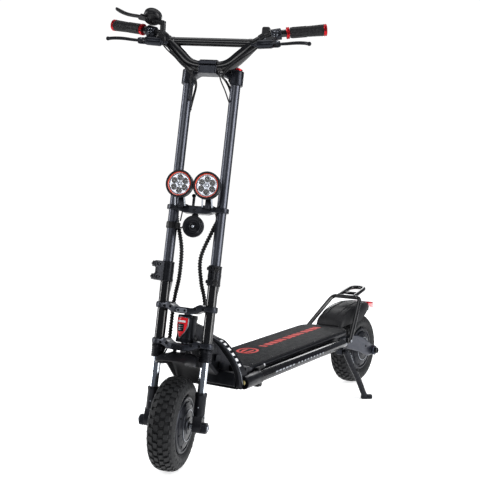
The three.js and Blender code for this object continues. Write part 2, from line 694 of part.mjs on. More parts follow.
// A plain shield plate that follows the front of the head tube.
function badge() {
  const corners = [[-22, 318], [22, 318], [22, 292], [15, 270], [0, 251], [-15, 270], [-22, 292]];
  const shield = outlineShape(corners);
  return common(panelXZ(shield, -34, -10), pipe(30 + GAP, 32.5, 245, 322, 18));
}
part(tilted, 'head_badge', badge(), badgeRed);

// A section of the neck: half width, top point and bottom point in the (y, z) plane.
function neckSection(halfWidth, [y0, z0], [y1, z1]) {
  const up = V3(0, y0 - y1, z0 - z1);
  const reach = up.length() / 2;
  const middle = V3(0, (y0 + y1) / 2, (z0 + z1) / 2);
  up.normalize();
  const corner = 7;
  const [w, h] = [halfWidth, reach];
  const outline = [
    [-w + corner, -h], [w - corner, -h], [w, -h + corner], [w, h - corner],
    [w - corner, h], [-w + corner, h], [-w, h - corner], [-w, -h + corner],
  ].map(([x, y]) => V2(x, y));
  const basis = new THREE.Matrix4().makeBasis(V3(1, 0, 0), up, V3(1, 0, 0).cross(up));
  return { outline, frame: basis.setPosition(middle) };
}

// A side beam of the neck, from the head tube out to the deck's front corner. Each station
// gives the middle of the beam, its width across and its depth from front to back.
function neckBeam(side) {
  const stations = [
    [34, 128, 400, 16, 34], [48, 148, 384, 20, 36], [62, 174, 361, 23, 36], [80, 188, 331, 26, 34],
    [98, 200, 297, 25, 36], [108, 211, 262, 22, 42], [110, 221, 228, 21, 54], [110, 224, 212, 20, 50],
  ];
  const sections = stations.map(([x, y, z, width, depth]) => {
    const [w, d] = [width / 2, depth / 2];
    const corner = 4;
    const outline = [
      [-w + corner, -d], [w - corner, -d], [w, -d + corner], [w, d - corner],
      [w - corner, d], [-w + corner, d], [-w, d - corner], [-w, -d + corner],
    ].map(([u, v]) => V2(u, v));
    return { outline, frame: new THREE.Matrix4().makeTranslation(side * x, y, z) };
  });
  return loft(sections);
}

function neck() {
  const core = loft([
    neckSection(24, [100, 432], [84, 374]), neckSection(27, [130, 418], [108, 350]),
    neckSection(30, [168, 398], [142, 312]), neckSection(35, [200, 364], [172, 270]),
    neckSection(42, [228, 324], [204, 236]), neckSection(50, [256, 282], [232, 210]),
  ]);
  const crossPanel = plateYZ(outlineShape([[190, 220], [194, 262], [206, 264], [206, 212]]), -108, 108);
  const basePlate = plateYZ(roundedRect(238, 212, 262, 276, 4), -116, 116);
  const bottomPlate = slabXY(roundedRect(-108, 196, 108, 250, 6), 210, 217);
  const body = join(core, crossPanel, basePlate, bottomPlate, neckBeam(1), neckBeam(-1));
  const headAxis = rodZ(0, 0, HEAD_TUBE_BOTTOM - 60, HEAD_TUBE_TOP + 60, 30 + GAP, 20);
  const clampRoom = rodZ(0, 0, HEAD_TUBE_BOTTOM - 60, LOWER_CLAMP_Z + 15.5, 56, 20);
  for (const tool of [headAxis, clampRoom]) tool.rotateX(-RAKE).translate(...tilted.position.toArray());
  const sockets = SIDES.map(([, side]) => (
    rod(V3(side * RAIL_X, 190, RAIL_Z), V3(side * RAIL_X, 300, RAIL_Z), 22.2, 18)
  ));
  return cut(body, headAxis, clampRoom, ...sockets);
}
part(scooter, 'neck', neck(), blackPaint);

// ---------------------------------------------------------------- deck
function sideRail(side) {
  const pads = [330, 580, 830].map((y) => block(-side * 19.2, y, 0, 6, 30, 14));
  return join(
    rod(V3(0, 290, 0), V3(0, 866, 0), 17.8, 18),
    cut(rod(V3(0, 210, 0), V3(0, 300, 0), 21, 18), rod(V3(0, 205, 0), V3(0, 216, 0), 16, 16)),
    ...pads,
  );
}
for (const [name, side] of SIDES) {
  part(scooter, `side_rail_${name}`, sideRail(side), blackPaint).position.set(side * RAIL_X, 0, RAIL_Z);
}

// The battery tray is open above and narrower behind, between two cheeks that hold the swing
// arm's shaft. The left cheek carries the kickstand's pin.
function deckTray() {
  const rearHalf = 78;
  const wall = 5;
  const box = (halfWidth, y0, y1, z0, z1) => (
    block(0, (y0 + y1) / 2, (z0 + z1) / 2, 2 * halfWidth, y1 - y0, z1 - z0)
  );
  const main = box(DECK_HALF_WIDTH, DECK_FRONT, 880, DECK_BOTTOM, DECK_RIM);
  const rear = box(rearHalf, 870, DECK_REAR, DECK_BOTTOM, DECK_RIM);
  const cheekShape = outlineShape([[868, 196], [872, DECK_RIM], [946, DECK_RIM], [960, 225], [958, 196]]);
  const cheeks = SIDES.map(([, side]) => plateYZ(cheekShape, ...sideSpan(side, 92.5, DECK_HALF_WIDTH)));
  const { x, y, z } = KICKSTAND_PIVOT;
  const bracket = join(
    plateYZ(roundedRect(y - 12, z - 10, y + 12, z + 14, 5), 95, x - 10),
    rodX(x - 11, x + 8, y, z, 4, 14),
  );
  const body = join(main, rear, ...cheeks, bracket);
  const floor = DECK_BOTTOM + wall;
  return cut(
    body,
    box(DECK_HALF_WIDTH - wall, DECK_FRONT + wall, 874 - wall, floor, DECK_RIM + 10),
    box(rearHalf - wall, 860, 925, floor, DECK_RIM + 10),
    rodX(-105, 105, SWING_PIVOT.y, SWING_PIVOT.z, AXLE_RADIUS + GAP),
  );
}
part(scooter, 'deck_tray', deckTray(), blackPaint);

// The plan of the deck, moved inwards by the inset.
function deckPlan(inset) {
  const half = 104 - inset;
  const [front, rear] = [266 + inset, 973 - inset];
  const shape = new THREE.Shape();
  shape.moveTo(-half + 24, front).lineTo(half - 24, front);
  shape.absarc(half - 24, front + 24, 24, -Math.PI / 2, 0, false);
  shape.lineTo(half, 915);
  shape.quadraticCurveTo(half - 4, rear - 6, half - 44, rear);
  shape.lineTo(-half + 44, rear).quadraticCurveTo(-half + 4, rear - 6, -half, 915);
  shape.lineTo(-half, front + 24).absarc(-half + 24, front + 24, 24, Math.PI, Math.PI * 1.5, false);
  return shape;
}
part(scooter, 'deck_cover', slabXY(deckPlan(0), DECK_RIM + GAP, COVER_TOP), blackPaint);
part(scooter, 'deck_mat', slabXY(deckPlan(4), COVER_TOP + GAP, MAT_TOP), rubber);
part(scooter, 'battery_pack', block(0, 520, 228, 176, 440, 34), packBlue);
part(scooter, 'motor_controller', block(0, 806, 228, 140, 100, 34), castAluminium);

// ---------------------------------------------------------------- grab bar, mudguard, tail light
function grabBar() {
  const hoopHalf = [
    [106.3, 948, 222, 8], [106.3, 958, 229, 8], [101, 980, 246, 8], [68, 1104, 340, 8],
    [62, 1121, 353, 8], [52, 1129, 359, 8], [34, 1130, 360, 8],
  ];
  const hoop = [...hoopHalf, ...hoopHalf.slice().reverse().map(([x, y, z, r]) => [-x, y, z, r])];
  const rackHalf = [
    [34, 1130, 362, 8], [34, 1150, 367, 8], [32, 1205, 377, 8], [28, 1228, 381, 8], [14, 1240, 383, 8],
  ];
  const rack = [...rackHalf, ...rackHalf.slice().reverse().map(([x, y, z, r]) => [-x, y, z, r])];
  const feet = SIDES.map(([, side]) => rodX(...sideSpan(side, DECK_HALF_WIDTH + GAP, 107), 950, 224, 8.5));
  return join(
    sweep(hoop, 8, 1, V3(0, 1, 0.3)),
    sweep(rack, 8, 1),
    rodX(-33, 33, 1166, 370, 6.5, 8),
    ...feet,
  );
}
part(scooter, 'grab_bar', grabBar(), blackPaint);

function rearFender() {
  const stations = [
    [977, 270, 1, 56, 12], [992, 294, 0.75, 62, 32], [1024, 314, 0.45, 64, 50], [1070, 326, 0.22, 65, 62],
    [1120, 332, 0.06, 65, 64], [1172, 334, -0.05, 63, 50], [1222, 330, -0.14, 57, 30],
    [1262, 323, -0.22, 46, 18], [1290, 315, -0.3, 34, 12],
  ];
  const sections = stations.map(([y, z, slope, width, depth]) => {
    const up = V3(0, -slope, 1).normalize();
    const frame = new THREE.Matrix4().makeBasis(V3(1, 0, 0), up, V3(1, 0, 0).cross(up));
    return { outline: archOutline(width, depth, 3), frame: frame.setPosition(0, y, z) };
  });
  const foot = block(0, 979, 262, 90, 8, 22);
  return join(loft(sections), foot);
}
part(scooter, 'rear_fender', rearFender(), blackPlastic);
const tailShape = outlineShape([[1291, 314], [1342, 296], [1318, 290], [1292, 302]]);
part(scooter, 'tail_light', plateYZ(tailShape, -25, 25), lensRed);

// ---------------------------------------------------------------- rear suspension
part(scooter, 'swingarm_shaft', rodX(-100, 100, SWING_PIVOT.y, SWING_PIVOT.z, AXLE_RADIUS), steel);
part(scooter, 'rear_axle', rodX(-112, 112, WHEELBASE, TYRE_RADIUS, AXLE_RADIUS), steel);

// Each arm is a bent plate with a round eye at both ends. The left one carries the bridge.
function swingArm(side) {
  const outline = outlineShape([
    [930, 198], [950, 228], [998, 238], [1098, 210], [1200, 154], [1184, 124], [1148, 124], [1067, 157],
    [945, 196],
  ]);
  const across = sideSpan(side, 82.5, 91.5);
  const pieces = [
    plateYZ(outline, ...across),
    rodX(...across, SWING_PIVOT.y, SWING_PIVOT.z, 17, 18),
    rodX(...sideSpan(side, 80, 102), WHEELBASE, TYRE_RADIUS, 20, 18),
  ];
  if (side > 0) pieces.push(rodX(-82.5 + GAP, 84, 1018, 206, 9, 12));
  return cut(
    join(...pieces),
    rodX(-130, 130, SWING_PIVOT.y, SWING_PIVOT.z, AXLE_RADIUS + GAP),
    rodX(...sideSpan(side, 60, 130), WHEELBASE, TYRE_RADIUS, AXLE_RADIUS + GAP),
  );
}
for (const [name, side] of SIDES) {
  part(scooter, `swingarm_${name}`, swingArm(side), slatePaint);
}

// ---------------------------------------------------------------- kickstand
function kickstand() {
  const { x, y, z } = KICKSTAND_PIVOT;
  const foot = slabXY(roundedRect(-12, -22, 12, 22, 8), 0, 12).rotateZ(-0.95).translate(165, 980, 0);
  const legPoints = [[x, y, z, 9], [x + 9, y + 24, z - 47, 8.5], [159, 970, 20, 8], [162, 974, 8, 8]];
  const leg = sweep(legPoints, 12, 1, V3(0, 1, 0));
  return cut(
    join(leg, rodX(x - 6, x + 6, y, z, 11, 16), foot),
    rodX(x - 12, x + 20, y, z, 4 + GAP, 16),
    block(160, 980, -10, 100, 100, 20),
  ).translate(-x, -y, -z);
}
part(scooter, 'kickstand', kickstand(), blackPaint)
  .position.set(KICKSTAND_PIVOT.x, KICKSTAND_PIVOT.y, KICKSTAND_PIVOT.z);

// ---------------------------------------------------------------- cables
// The wrapped bundles run in front of the bar and under the yoke, down behind the stem tubes,
// forward between them and back to the middle clamp. The right one reaches the lower clamp.
const RIGHT_BUNDLE = [
  [-146, -92, 1120], [-122, -97, 1110], [-92, -99, 1087], [-62, -97, 1060], [-45, -82, 1041],
  [-46, -46, 1038], [-52, -14, 1024], [-57, 4, 985], [-58, 6, 930], [-58, 6, 850], [-58, 6, 700],
  [-58, 5, 630], [-51, -18, 580], [-36, -24, 515], [-38, -14, 440], [-50, 5, 385], [-54, 9.5, 346],
  [-54, 9.5, 262], [-54, 9.5, 228],
];
const LEFT_BUNDLE = [
  [146, -92, 1120], [122, -97, 1110], [92, -99, 1087], [62, -97, 1060], [45, -82, 1041],
  [46, -46, 1038], [52, -14, 1024], [57, 4, 985], [58, 6, 930], [58, 6, 850], [58, 6, 700],
  [58, 5, 630], [52, -18, 585], [26, -24, 500], [32, -14, 430], [40, 8, 385], [46, 22, 346],
  [50, 32, 330],
];
const HUB_CABLE = [
  [-54, 9.5, 226], [-61, 7, 208], [-71, 3, 180], [-75, 0, 130], [-75, 0, 60], [-66, 2, 26], [-55, -8, 4],
];
part(steered, 'cable_right', bentTube(RIGHT_BUNDLE, 5.5, 8, 24), rubber);
part(steered, 'cable_left', bentTube(LEFT_BUNDLE, 5.5, 8, 24), rubber);
part(steered, 'hub_cable', bentTube(HUB_CABLE, 3, 8, 14), rubber);

// ---------------------------------------------------------------- origin
// The box's middle goes onto the Z axis and the tyres stand on z = 0.
scooter.updateMatrixWorld(true);
const bounds = new THREE.Box3().setFromObject(scooter, true);
const centre = bounds.getCenter(V3());
scooter.position.set(-centre.x, -centre.y, -bounds.min.z);

export default scooter;
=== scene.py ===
"""Electric kick scooter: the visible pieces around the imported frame, the studio and the camera.

Pieces are drawn in millimetres in one of three frames. CHASSIS has its y = 0 under the front
axle and z = 0 on the ground. HEAD has its Z axis on the steering axis and doesn't steer. FORK is
HEAD turned with the handlebar, and its z = 0 is the front axle's height. In all three +X is the
rider's left and +Y points to the rear.
"""

import json
import math

import bmesh
import bpy
from mathutils import Matrix, Vector


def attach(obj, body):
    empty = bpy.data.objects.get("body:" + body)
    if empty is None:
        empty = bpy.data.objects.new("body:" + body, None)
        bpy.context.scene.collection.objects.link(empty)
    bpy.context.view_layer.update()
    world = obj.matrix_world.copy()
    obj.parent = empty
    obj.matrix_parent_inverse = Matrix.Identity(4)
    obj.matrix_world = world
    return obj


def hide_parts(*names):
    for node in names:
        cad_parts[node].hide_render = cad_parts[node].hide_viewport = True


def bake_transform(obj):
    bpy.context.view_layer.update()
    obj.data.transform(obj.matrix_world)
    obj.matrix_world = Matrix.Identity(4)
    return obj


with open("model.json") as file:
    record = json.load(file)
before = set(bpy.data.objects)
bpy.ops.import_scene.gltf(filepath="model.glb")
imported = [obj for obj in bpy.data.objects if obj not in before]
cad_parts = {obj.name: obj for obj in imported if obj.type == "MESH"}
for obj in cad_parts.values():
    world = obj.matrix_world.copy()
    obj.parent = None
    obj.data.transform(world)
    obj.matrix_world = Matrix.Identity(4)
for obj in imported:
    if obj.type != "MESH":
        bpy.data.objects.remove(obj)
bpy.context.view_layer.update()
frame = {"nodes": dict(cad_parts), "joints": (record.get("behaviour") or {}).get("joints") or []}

# ---------------------------------------------------------------- driving dimensions
WHEELBASE = 1190
TYRE_RADIUS = 140
TYRE_HALF = 41.5
STEM_X = 75
STEM_Y = -24.7
AXLE_Y = -27.7
STEM_RADIUS = 15.5
OUTER_TUBE_RADIUS = 16
STANCHION_RADIUS = 12.5
STANCHION_TOP = 280
SEAL_BOTTOM = 190
SEAL_TOP = 229
LOWER_CLAMP_Z = 237
MIDDLE_CLAMP_Z = 346
HEAD_TUBE_BOTTOM = 241
HEAD_TUBE_TOP = 324
STEM_TOP = 1074
SLEEVE_BOTTOM = 418
SLEEVE_TOP = 479
SLEEVE_RADIUS = 20
HINGE_Y = STEM_Y + 23
HINGE_Z = 424.3
LIGHT_BRACKET_Z = 645
LIGHT = (42.3, STEM_Y - 80, 708)
HORN = (0, STEM_Y - 32, 589)
BAR_Z = 1071
BAR_Y = STEM_Y - 50
RAIL_X = 120
RAIL_Z = 231
DECK_BOTTOM = 205
DECK_RIM = 249.7
COVER_TOP = 263.7
MAT_TOP = 268
SWING_PIVOT = (938, 213)
KICKSTAND_PIVOT = (127, 880, 196)
SIDES = (("left", 1), ("right", -1))
MM = 0.001


def frame_matrix(x, y, z, origin):
    """The matrix from millimetres along x, y and z to metres in the row frame."""
    columns = [Vector(axis) * MM for axis in (x, y, z)]
    matrix = Matrix(columns).transposed().to_4x4()
    matrix.translation = origin
    return matrix


def joint_facts(name):
    row = next(row for row in frame["joints"] if row["name"] == name)
    return Vector(row["pos_m"]), Vector(row["axis"]).normalized()


front_axle, axle_direction = joint_facts("front_wheel_spin")
rear_axle, _ = joint_facts("rear_wheel_spin")
_, steering_axis = joint_facts("steering")
fork_back = steering_axis.cross(axle_direction)
fork_origin = front_axle - fork_back * AXLE_Y * MM
X_AXIS = Vector((1, 0, 0))
Y_AXIS = Vector((0, 1, 0))
Z_AXIS = Vector((0, 0, 1))
FORK = frame_matrix(axle_direction, fork_back, steering_axis, fork_origin)
HEAD = frame_matrix(X_AXIS, steering_axis.cross(X_AXIS), steering_axis, fork_origin)
CHASSIS = frame_matrix(X_AXIS, Y_AXIS, Z_AXIS, rear_axle - Vector((0, WHEELBASE, TYRE_RADIUS)) * MM)

# ---------------------------------------------------------------- camera
CAMERA_PLACE = Vector((1547.6, -1868.9, 917.5))
CAMERA_AZIMUTH = math.radians(35.23)
CAMERA_PITCH = math.radians(6.49)
CAMERA_ROLL = math.radians(-0.74)
LENS_MM = 62.676
SENSOR_MM = 36
CAMERA_SHIFT = (0.0193, 0.0306)


def make_camera():
    data = bpy.data.cameras.new("camera")
    data.lens = LENS_MM
    data.sensor_width = SENSOR_MM
    data.shift_x, data.shift_y = CAMERA_SHIFT
    data.clip_start = 0.05
    data.clip_end = 60
    sin_a, cos_a = math.sin(CAMERA_AZIMUTH), math.cos(CAMERA_AZIMUTH)
    sin_p, cos_p = math.sin(CAMERA_PITCH), math.cos(CAMERA_PITCH)
    forward = Vector((-sin_a * cos_p, cos_a * cos_p, -sin_p))
    level = Vector((cos_a, sin_a, 0))
    upright = level.cross(forward)
    right = level * math.cos(CAMERA_ROLL) + upright * math.sin(CAMERA_ROLL)
    up = upright * math.cos(CAMERA_ROLL) - level * math.sin(CAMERA_ROLL)
    camera = bpy.data.objects.new("camera", data)
    bpy.context.scene.collection.objects.link(camera)
    pose = Matrix((right, up, -forward)).transposed().to_4x4()
    pose.translation = CHASSIS @ CAMERA_PLACE
    camera.matrix_world = pose
    bpy.context.scene.camera = camera


make_camera()


# ---------------------------------------------------------------- shapes
# A shape is a list of points and a list of faces that index them.
def joined(*shapes):
    points, faces = [], []
    for more_points, more_faces in shapes:
        offset = len(points)
        points += [Vector(p) for p in more_points]
        faces += [[i + offset for i in face] for face in more_faces]
    return points, faces


def mapped(shape, rule):
    return [Vector(rule(*p)) for p in shape[0]], shape[1]


def placed(shape, matrix):
    return [matrix @ Vector(p) for p in shape[0]], shape[1]


def moved(shape, x, y, z):
    return placed(shape, Matrix.Translation((x, y, z)))


def axis_x(shape):
    return mapped(shape, lambda x, y, z: (z, y, -x))


def axis_y(shape):
    return mapped(shape, lambda x, y, z: (x, z, -y))


def mirrored(shape, side):
    return shape if side > 0 else mapped(shape, lambda x, y, z: (-x, y, z))


def along(shape, start, direction):
    """The shape with its Z axis laid along a direction from a start point."""
    turn = Vector(direction).to_track_quat("Z", "Y").to_matrix().to_4x4()
    return placed(shape, Matrix.Translation(start) @ turn)


def lathe(profile, segments=48, closed=False):
    """A turned shape about Z. The profile lists (radius, height)."""
    points, rings = [], []
    for radius, height in profile:
        count = 1 if radius < 1e-6 else segments
        rings.append(range(len(points), len(points) + count))
        for i in range(count):
            angle = 2 * math.pi * i / segments
            points.append((radius * math.cos(angle), radius * math.sin(angle), height))
    pairs = list(zip(rings, rings[1:]))
    if closed:
        pairs.append((rings[-1], rings[0]))
    faces = []
    for low, high in pairs:
        for i in range(segments):
            j = (i + 1) % segments
            quad = (low[i % len(low)], low[j % len(low)], high[j % len(high)], high[i % len(high)])
            face = list(dict.fromkeys(quad))
            if len(face) > 2:
                faces.append(face)
    return points, faces


def loft(rings, capped=True, looped=False):
    """A skin over rings that have the same number of points."""
    count = len(rings[0])
    points = [Vector(p) for ring in rings for p in ring]
    faces = []
    pairs = [(s, s + 1) for s in range(len(rings) - 1)]
    if looped:
        pairs.append((len(rings) - 1, 0))
    for low, high in pairs:
        for i in range(count):
            j = (i + 1) % count
            faces.append([low * count + i, low * count + j, high * count + j, high * count + i])
    if capped and not looped:
        faces.append(list(range(count))[::-1])
        faces.append([(len(rings) - 1) * count + i for i in range(count)])
    return points, faces


def slab(outline, low, high):
    return loft([[(u, v, low) for u, v in outline], [(u, v, high) for u, v in outline]])


def panel_xz(outline, y0, y1):
    return mapped(slab(outline, y0, y1), lambda u, v, w: (u, w, v))


def plate_yz(outline, x0, x1):
    return mapped(slab(outline, x0, x1), lambda u, v, w: (w, u, v))


def rounded(u0, v0, u1, v1, radius, steps=5):
    """The outline of a rectangle with round corners."""
    outline = []
    corners = ((u1, v0, -90, -1, 1), (u1, v1, 0, -1, -1), (u0, v1, 90, 1, -1), (u0, v0, 180, 1, 1))
    for u, v, start, du, dv in corners:
        for i in range(steps + 1):
            angle = math.radians(start + 90 * i / steps)
            outline.append((
                u + du * radius + radius * math.cos(angle),
                v + dv * radius + radius * math.sin(angle),
            ))
    return outline


def block(x, y, z, width, depth, height, corner=2):
    outline = rounded(x - width / 2, y - depth / 2, x + width / 2, y + depth / 2, corner, 3)
    return slab(outline, z - height / 2, z + height / 2)


def rod(start, end, radius, sides=32, chamfer=0.8):
    """A cylinder between two points with a small chamfer at both ends."""
    span = Vector(end) - Vector(start)
    length = span.length
    profile = [
        (0, 0), (radius - chamfer, 0), (radius, chamfer), (radius, length - chamfer),
        (radius - chamfer, length), (0, length),
    ]
    return along(lathe(profile, sides), start, span)


def smooth_path(points, steps):
    """Catmull-Rom points through the given tuples, all of whose numbers are interpolated."""
    path = []
    rows = [tuple(map(float, p)) for p in points]
    rows = [rows[0], *rows, rows[-1]]
    for a, b, c, d in zip(rows, rows[1:], rows[2:], rows[3:]):
        for i in range(steps):
            t = i / steps
            path.append(tuple(
                0.5 * (2 * q + (r - p) * t + (2 * p - 5 * q + 4 * r - s) * t**2
                       + (3 * q - p - 3 * r + s) * t**3)
                for p, q, r, s in zip(a, b, c, d)
            ))
    path.append(rows[-1])
    return path


def tube(points, radius=None, sides=20, steps=6, ripple=None):
    """A round bar along a smooth path. Points carry their own radius as a fourth number where
    none is given. The ripple gives an extra radius at a distance and an angle."""
    rows = [(*p, radius) if radius is not None else p for p in points]
    path = smooth_path(rows, steps)
    rings, travelled, previous = [], 0.0, None
    side = None
    for i, row in enumerate(path):
        centre = Vector(row[:3])
        ahead = Vector(path[min(i + 1, len(path) - 1)][:3])
        behind = Vector(path[max(i - 1, 0)][:3])
        tangent = (ahead - behind).normalized()
        if side is None:
            side = tangent.orthogonal().normalized()
        side = (side - tangent * side.dot(tangent)).normalized()
        normal = tangent.cross(side)
        if previous is not None:
            travelled += (centre - previous).length
        previous = centre
        ring = []
        for k in range(sides):
            angle = 2 * math.pi * k / sides
            r = row[3] + (ripple(travelled, angle) if ripple else 0)
            ring.append(centre + side * (r * math.cos(angle)) + normal * (r * math.sin(angle)))
        rings.append(ring)
    return loft(rings)


def bolt(centre, direction, radius, height=None):
    """A round-headed socket screw whose underside is at the centre point."""
    h = height or radius * 0.8
    profile = [
        (0, h * 0.35), (radius * 0.5, h * 0.35), (radius * 0.55, h), (radius * 0.86, h),
        (radius, h * 0.8), (radius, -0.5), (0, -0.5),
    ]
    return along(lathe(profile, 24), centre, direction)


def wall_arc(inner, outer, low, high, start, end, steps=36):
    """A stretch of a round wall between two angles in degrees, with chamfered edges."""
    chamfer = 1.0
    section = [
        (inner, low), (outer - chamfer, low), (outer, low + chamfer), (outer, high - chamfer),
        (outer - chamfer, high), (inner, high),
    ]
    rings = []
    for i in range(steps + 1):
        angle = math.radians(start + (end - start) * i / steps)
        rings.append([(r * math.cos(angle), r * math.sin(angle), z) for r, z in section])
    return loft(rings)


def between(table, x):
    """The value at x of a line through the (x, value) pairs of the table."""
    if x <= table[0][0]:
        return table[0][1]
    for (x0, v0), (x1, v1) in zip(table, table[1:]):
        if x <= x1:
            return v0 + (v1 - v0) * (x - x0) / (x1 - x0)
    return table[-1][1]


def rigid_frame(x, y, z, origin):
    matrix = Matrix((x, y, z)).transposed().to_4x4()
    matrix.translation = origin
    return matrix


# ---------------------------------------------------------------- materials
def linear(hex_colour):
    channels = [(hex_colour >> shift & 255) / 255 for shift in (16, 8, 0)]
    return [c / 12.92 if c <= 0.04045 else ((c + 0.055) / 1.055) ** 2.4 for c in channels]


def finish(
    name, colour, roughness, metallic=0.0, coat=0.0, grain=0.06, grain_size=0.0006, mottle=0.3,
    mottle_size=0.03, dust=None, alpha=1.0, glow=0.0, sheen=0.0, smudge=0.07,
    specular=0.5,
):
    """A procedural finish: a mottled colour, smudged roughness and a fine grain. The sizes are
    in metres, and dust is a paler colour that gathers in patches."""
    material = bpy.data.materials.new(name)
    material.use_nodes = True
    nodes, links = material.node_tree.nodes, material.node_tree.links
    shader = nodes["Principled BSDF"]
    place = nodes.new("ShaderNodeTexCoord")

    def noise_node(size, detail, roughness_of_noise=0.55):
        node = nodes.new("ShaderNodeTexNoise")
        node.inputs["Scale"].default_value = 1 / size
        node.inputs["Detail"].default_value = detail
        node.inputs["Roughness"].default_value = roughness_of_noise
        links.new(place.outputs["Object"], node.inputs["Vector"])
        return node

    base = linear(colour)
    blotches = noise_node(mottle_size, 6)
    ramp = nodes.new("ShaderNodeValToRGB")
    ramp.color_ramp.elements[0].position = 0.3
    ramp.color_ramp.elements[0].color = [c * (1 - mottle) for c in base] + [1]
    ramp.color_ramp.elements[1].position = 0.72
    ramp.color_ramp.elements[1].color = [min(c * (1 + mottle), 1) for c in base] + [1]
    links.new(blotches.outputs["Fac"], ramp.inputs["Fac"])
    tint = ramp.outputs["Color"]
    if dust:
        specks = noise_node(mottle_size * 0.35, 8, 0.7)
        edge = nodes.new("ShaderNodeMapRange")
        edge.inputs["From Min"].default_value = 0.5
        edge.inputs["From Max"].default_value = 0.75
        edge.inputs["To Max"].default_value = 0.5
        links.new(specks.outputs["Fac"], edge.inputs["Value"])
        mix = nodes.new("ShaderNodeMix")
        mix.data_type = "RGBA"
        links.new(edge.outputs["Result"], mix.inputs["Factor"])
        links.new(tint, mix.inputs[6])
        mix.inputs[7].default_value = [*linear(dust), 1]
        tint = mix.outputs[2]
    links.new(tint, shader.inputs["Base Color"])

    smudges = noise_node(mottle_size * 0.6, 4)
    spread = nodes.new("ShaderNodeMapRange")
    spread.inputs["From Min"].default_value = 0.3
    spread.inputs["From Max"].default_value = 0.7
    spread.inputs["To Min"].default_value = max(roughness - smudge, 0.02)
    spread.inputs["To Max"].default_value = min(roughness + smudge, 1)
    links.new(smudges.outputs["Fac"], spread.inputs["Value"])
    links.new(spread.outputs["Result"], shader.inputs["Roughness"])

    if grain > 0:
        fine = noise_node(grain_size, 3)
        bump = nodes.new("ShaderNodeBump")
        bump.inputs["Strength"].default_value = grain
        bump.inputs["Distance"].default_value = grain_size * 0.5
        links.new(fine.outputs["Fac"], bump.inputs["Height"])
        links.new(bump.outputs["Normal"], shader.inputs["Normal"])

    shader.inputs["Metallic"].default_value = metallic
    shader.inputs["Specular IOR Level"].default_value = specular
    shader.inputs["Coat Weight"].default_value = coat
    shader.inputs["Coat Roughness"].default_value = 0.12
    shader.inputs["Sheen Weight"].default_value = sheen
    shader.inputs["Alpha"].default_value = alpha
    if glow:
        shader.inputs["Emission Color"].default_value = [*base, 1]
        shader.inputs["Emission Strength"].default_value = glow
    return material


TUBE_BLACK = finish("tube_black", 0x46484F, 0.36, 0.9, coat=0.05, mottle=0.08, grain=0.01, smudge=0.03)
GLOSS_BLACK = finish(
    "gloss_black", 0x0B0B0D, 0.22, coat=0.3, mottle=0.1, grain=0.01, smudge=0.03, specular=0.35,
)
SATIN_BLACK = finish(
    "satin_black", 0x1C1D21, 0.36, 0.7, mottle=0.12, grain=0.06, smudge=0.05, specular=0.35,
)
SLATE = finish("slate_anodised", 0x26282E, 0.32, 0.8, mottle=0.1, grain=0.06, grain_size=0.0004)
ARM_SLATE = finish("arm_slate", 0x353842, 0.33, 0.85, mottle=0.1, grain=0.06, grain_size=0.0004)
DARK_SLATE = finish("dark_slate", 0x1B1D23, 0.36, 0.7, mottle=0.15, grain=0.08, smudge=0.06)
PLASTIC = finish("moulded_plastic", 0x0C0C0F, 0.4, mottle=0.15, grain=0.25, grain_size=0.0008, specular=0.3)
RUBBER = finish(
    "soft_rubber", 0x0E0E11, 0.55, mottle=0.2, grain=0.3, grain_size=0.0007, sheen=0.04, specular=0.25,
)
TYRE = finish(
    "tyre_rubber", 0x0F1012, 0.62, mottle=0.25, grain=0.35, grain_size=0.0009, dust=0x141417, sheen=0.03,
    specular=0.3,
)
CHROME = finish("chrome", 0xC9CED6, 0.1, 1.0, mottle=0.05, grain=0.0, smudge=0.02)
STEEL = finish("steel", 0x9A9EA5, 0.3, 1.0, mottle=0.15, grain=0.1)
BLACK_STEEL = finish("black_oxide_steel", 0x1C1D20, 0.3, 0.8, mottle=0.2, grain=0.08)
RED_PAINT = finish("red_enamel", 0xDC1420, 0.25, 0.0, coat=0.6, mottle=0.12, grain=0.04)
ORANGE_TRIM = finish("orange_red_trim", 0xE0431C, 0.3, coat=0.4, mottle=0.08, grain=0.04)
RED_ALLOY = finish("red_anodised", 0xA8101A, 0.26, 0.75, mottle=0.15, grain=0.06)
WHITE_PAINT = finish("white_enamel", 0xDADBDE, 0.35, mottle=0.04, grain=0.05)
MIRROR = finish("lamp_reflector", 0xC4C8D0, 0.16, 0.95, mottle=0.1, grain=0.1, grain_size=0.002)
CUP_DARK = finish("lamp_cup", 0x1C1816, 0.2, 0.4, mottle=0.3, grain=0.05)
GLASS = finish("clear_glass", 0xFFFFFF, 0.03, coat=0.4, mottle=0.02, grain=0.0, alpha=0.05, smudge=0.01)
RED_LENS = finish("red_lens", 0xC00A1C, 0.16, coat=0.8, mottle=0.15, grain=0.1, glow=0.1)
# A pale pink coat for a strip along the tail lens top: a painted highlight, not part of the lens.
PAINTED_HIGHLIGHT_LENS = finish("painted_lens_highlight", 0xE5A9B2, 0.2, coat=0.6, mottle=0.08, grain=0.1)
AMBER_LENS = finish("pale_amber_lens", 0xD8C98A, 0.25, coat=0.5, mottle=0.1, grain=0.1)
SCREEN = finish("display_glass", 0x06070A, 0.06, coat=1.0, mottle=0.2, grain=0.0, smudge=0.02)
MAT = finish(
    "deck_mat", 0x0D0E11, 0.72, mottle=0.25, grain=0.9, grain_size=0.0016, dust=0x17181C, specular=0.25,
)
PRINT_RED = finish("mat_print", 0xC8281E, 0.6, mottle=0.18, grain=0.5, grain_size=0.0016)
PACK_BLUE = finish("pack_shrink_wrap", 0x2A4F8F, 0.35, coat=0.3, mottle=0.15, grain=0.2)
CAST = finish("cast_aluminium", 0x9A9DA3, 0.45, 0.9, mottle=0.15, grain=0.4, grain_size=0.0012)


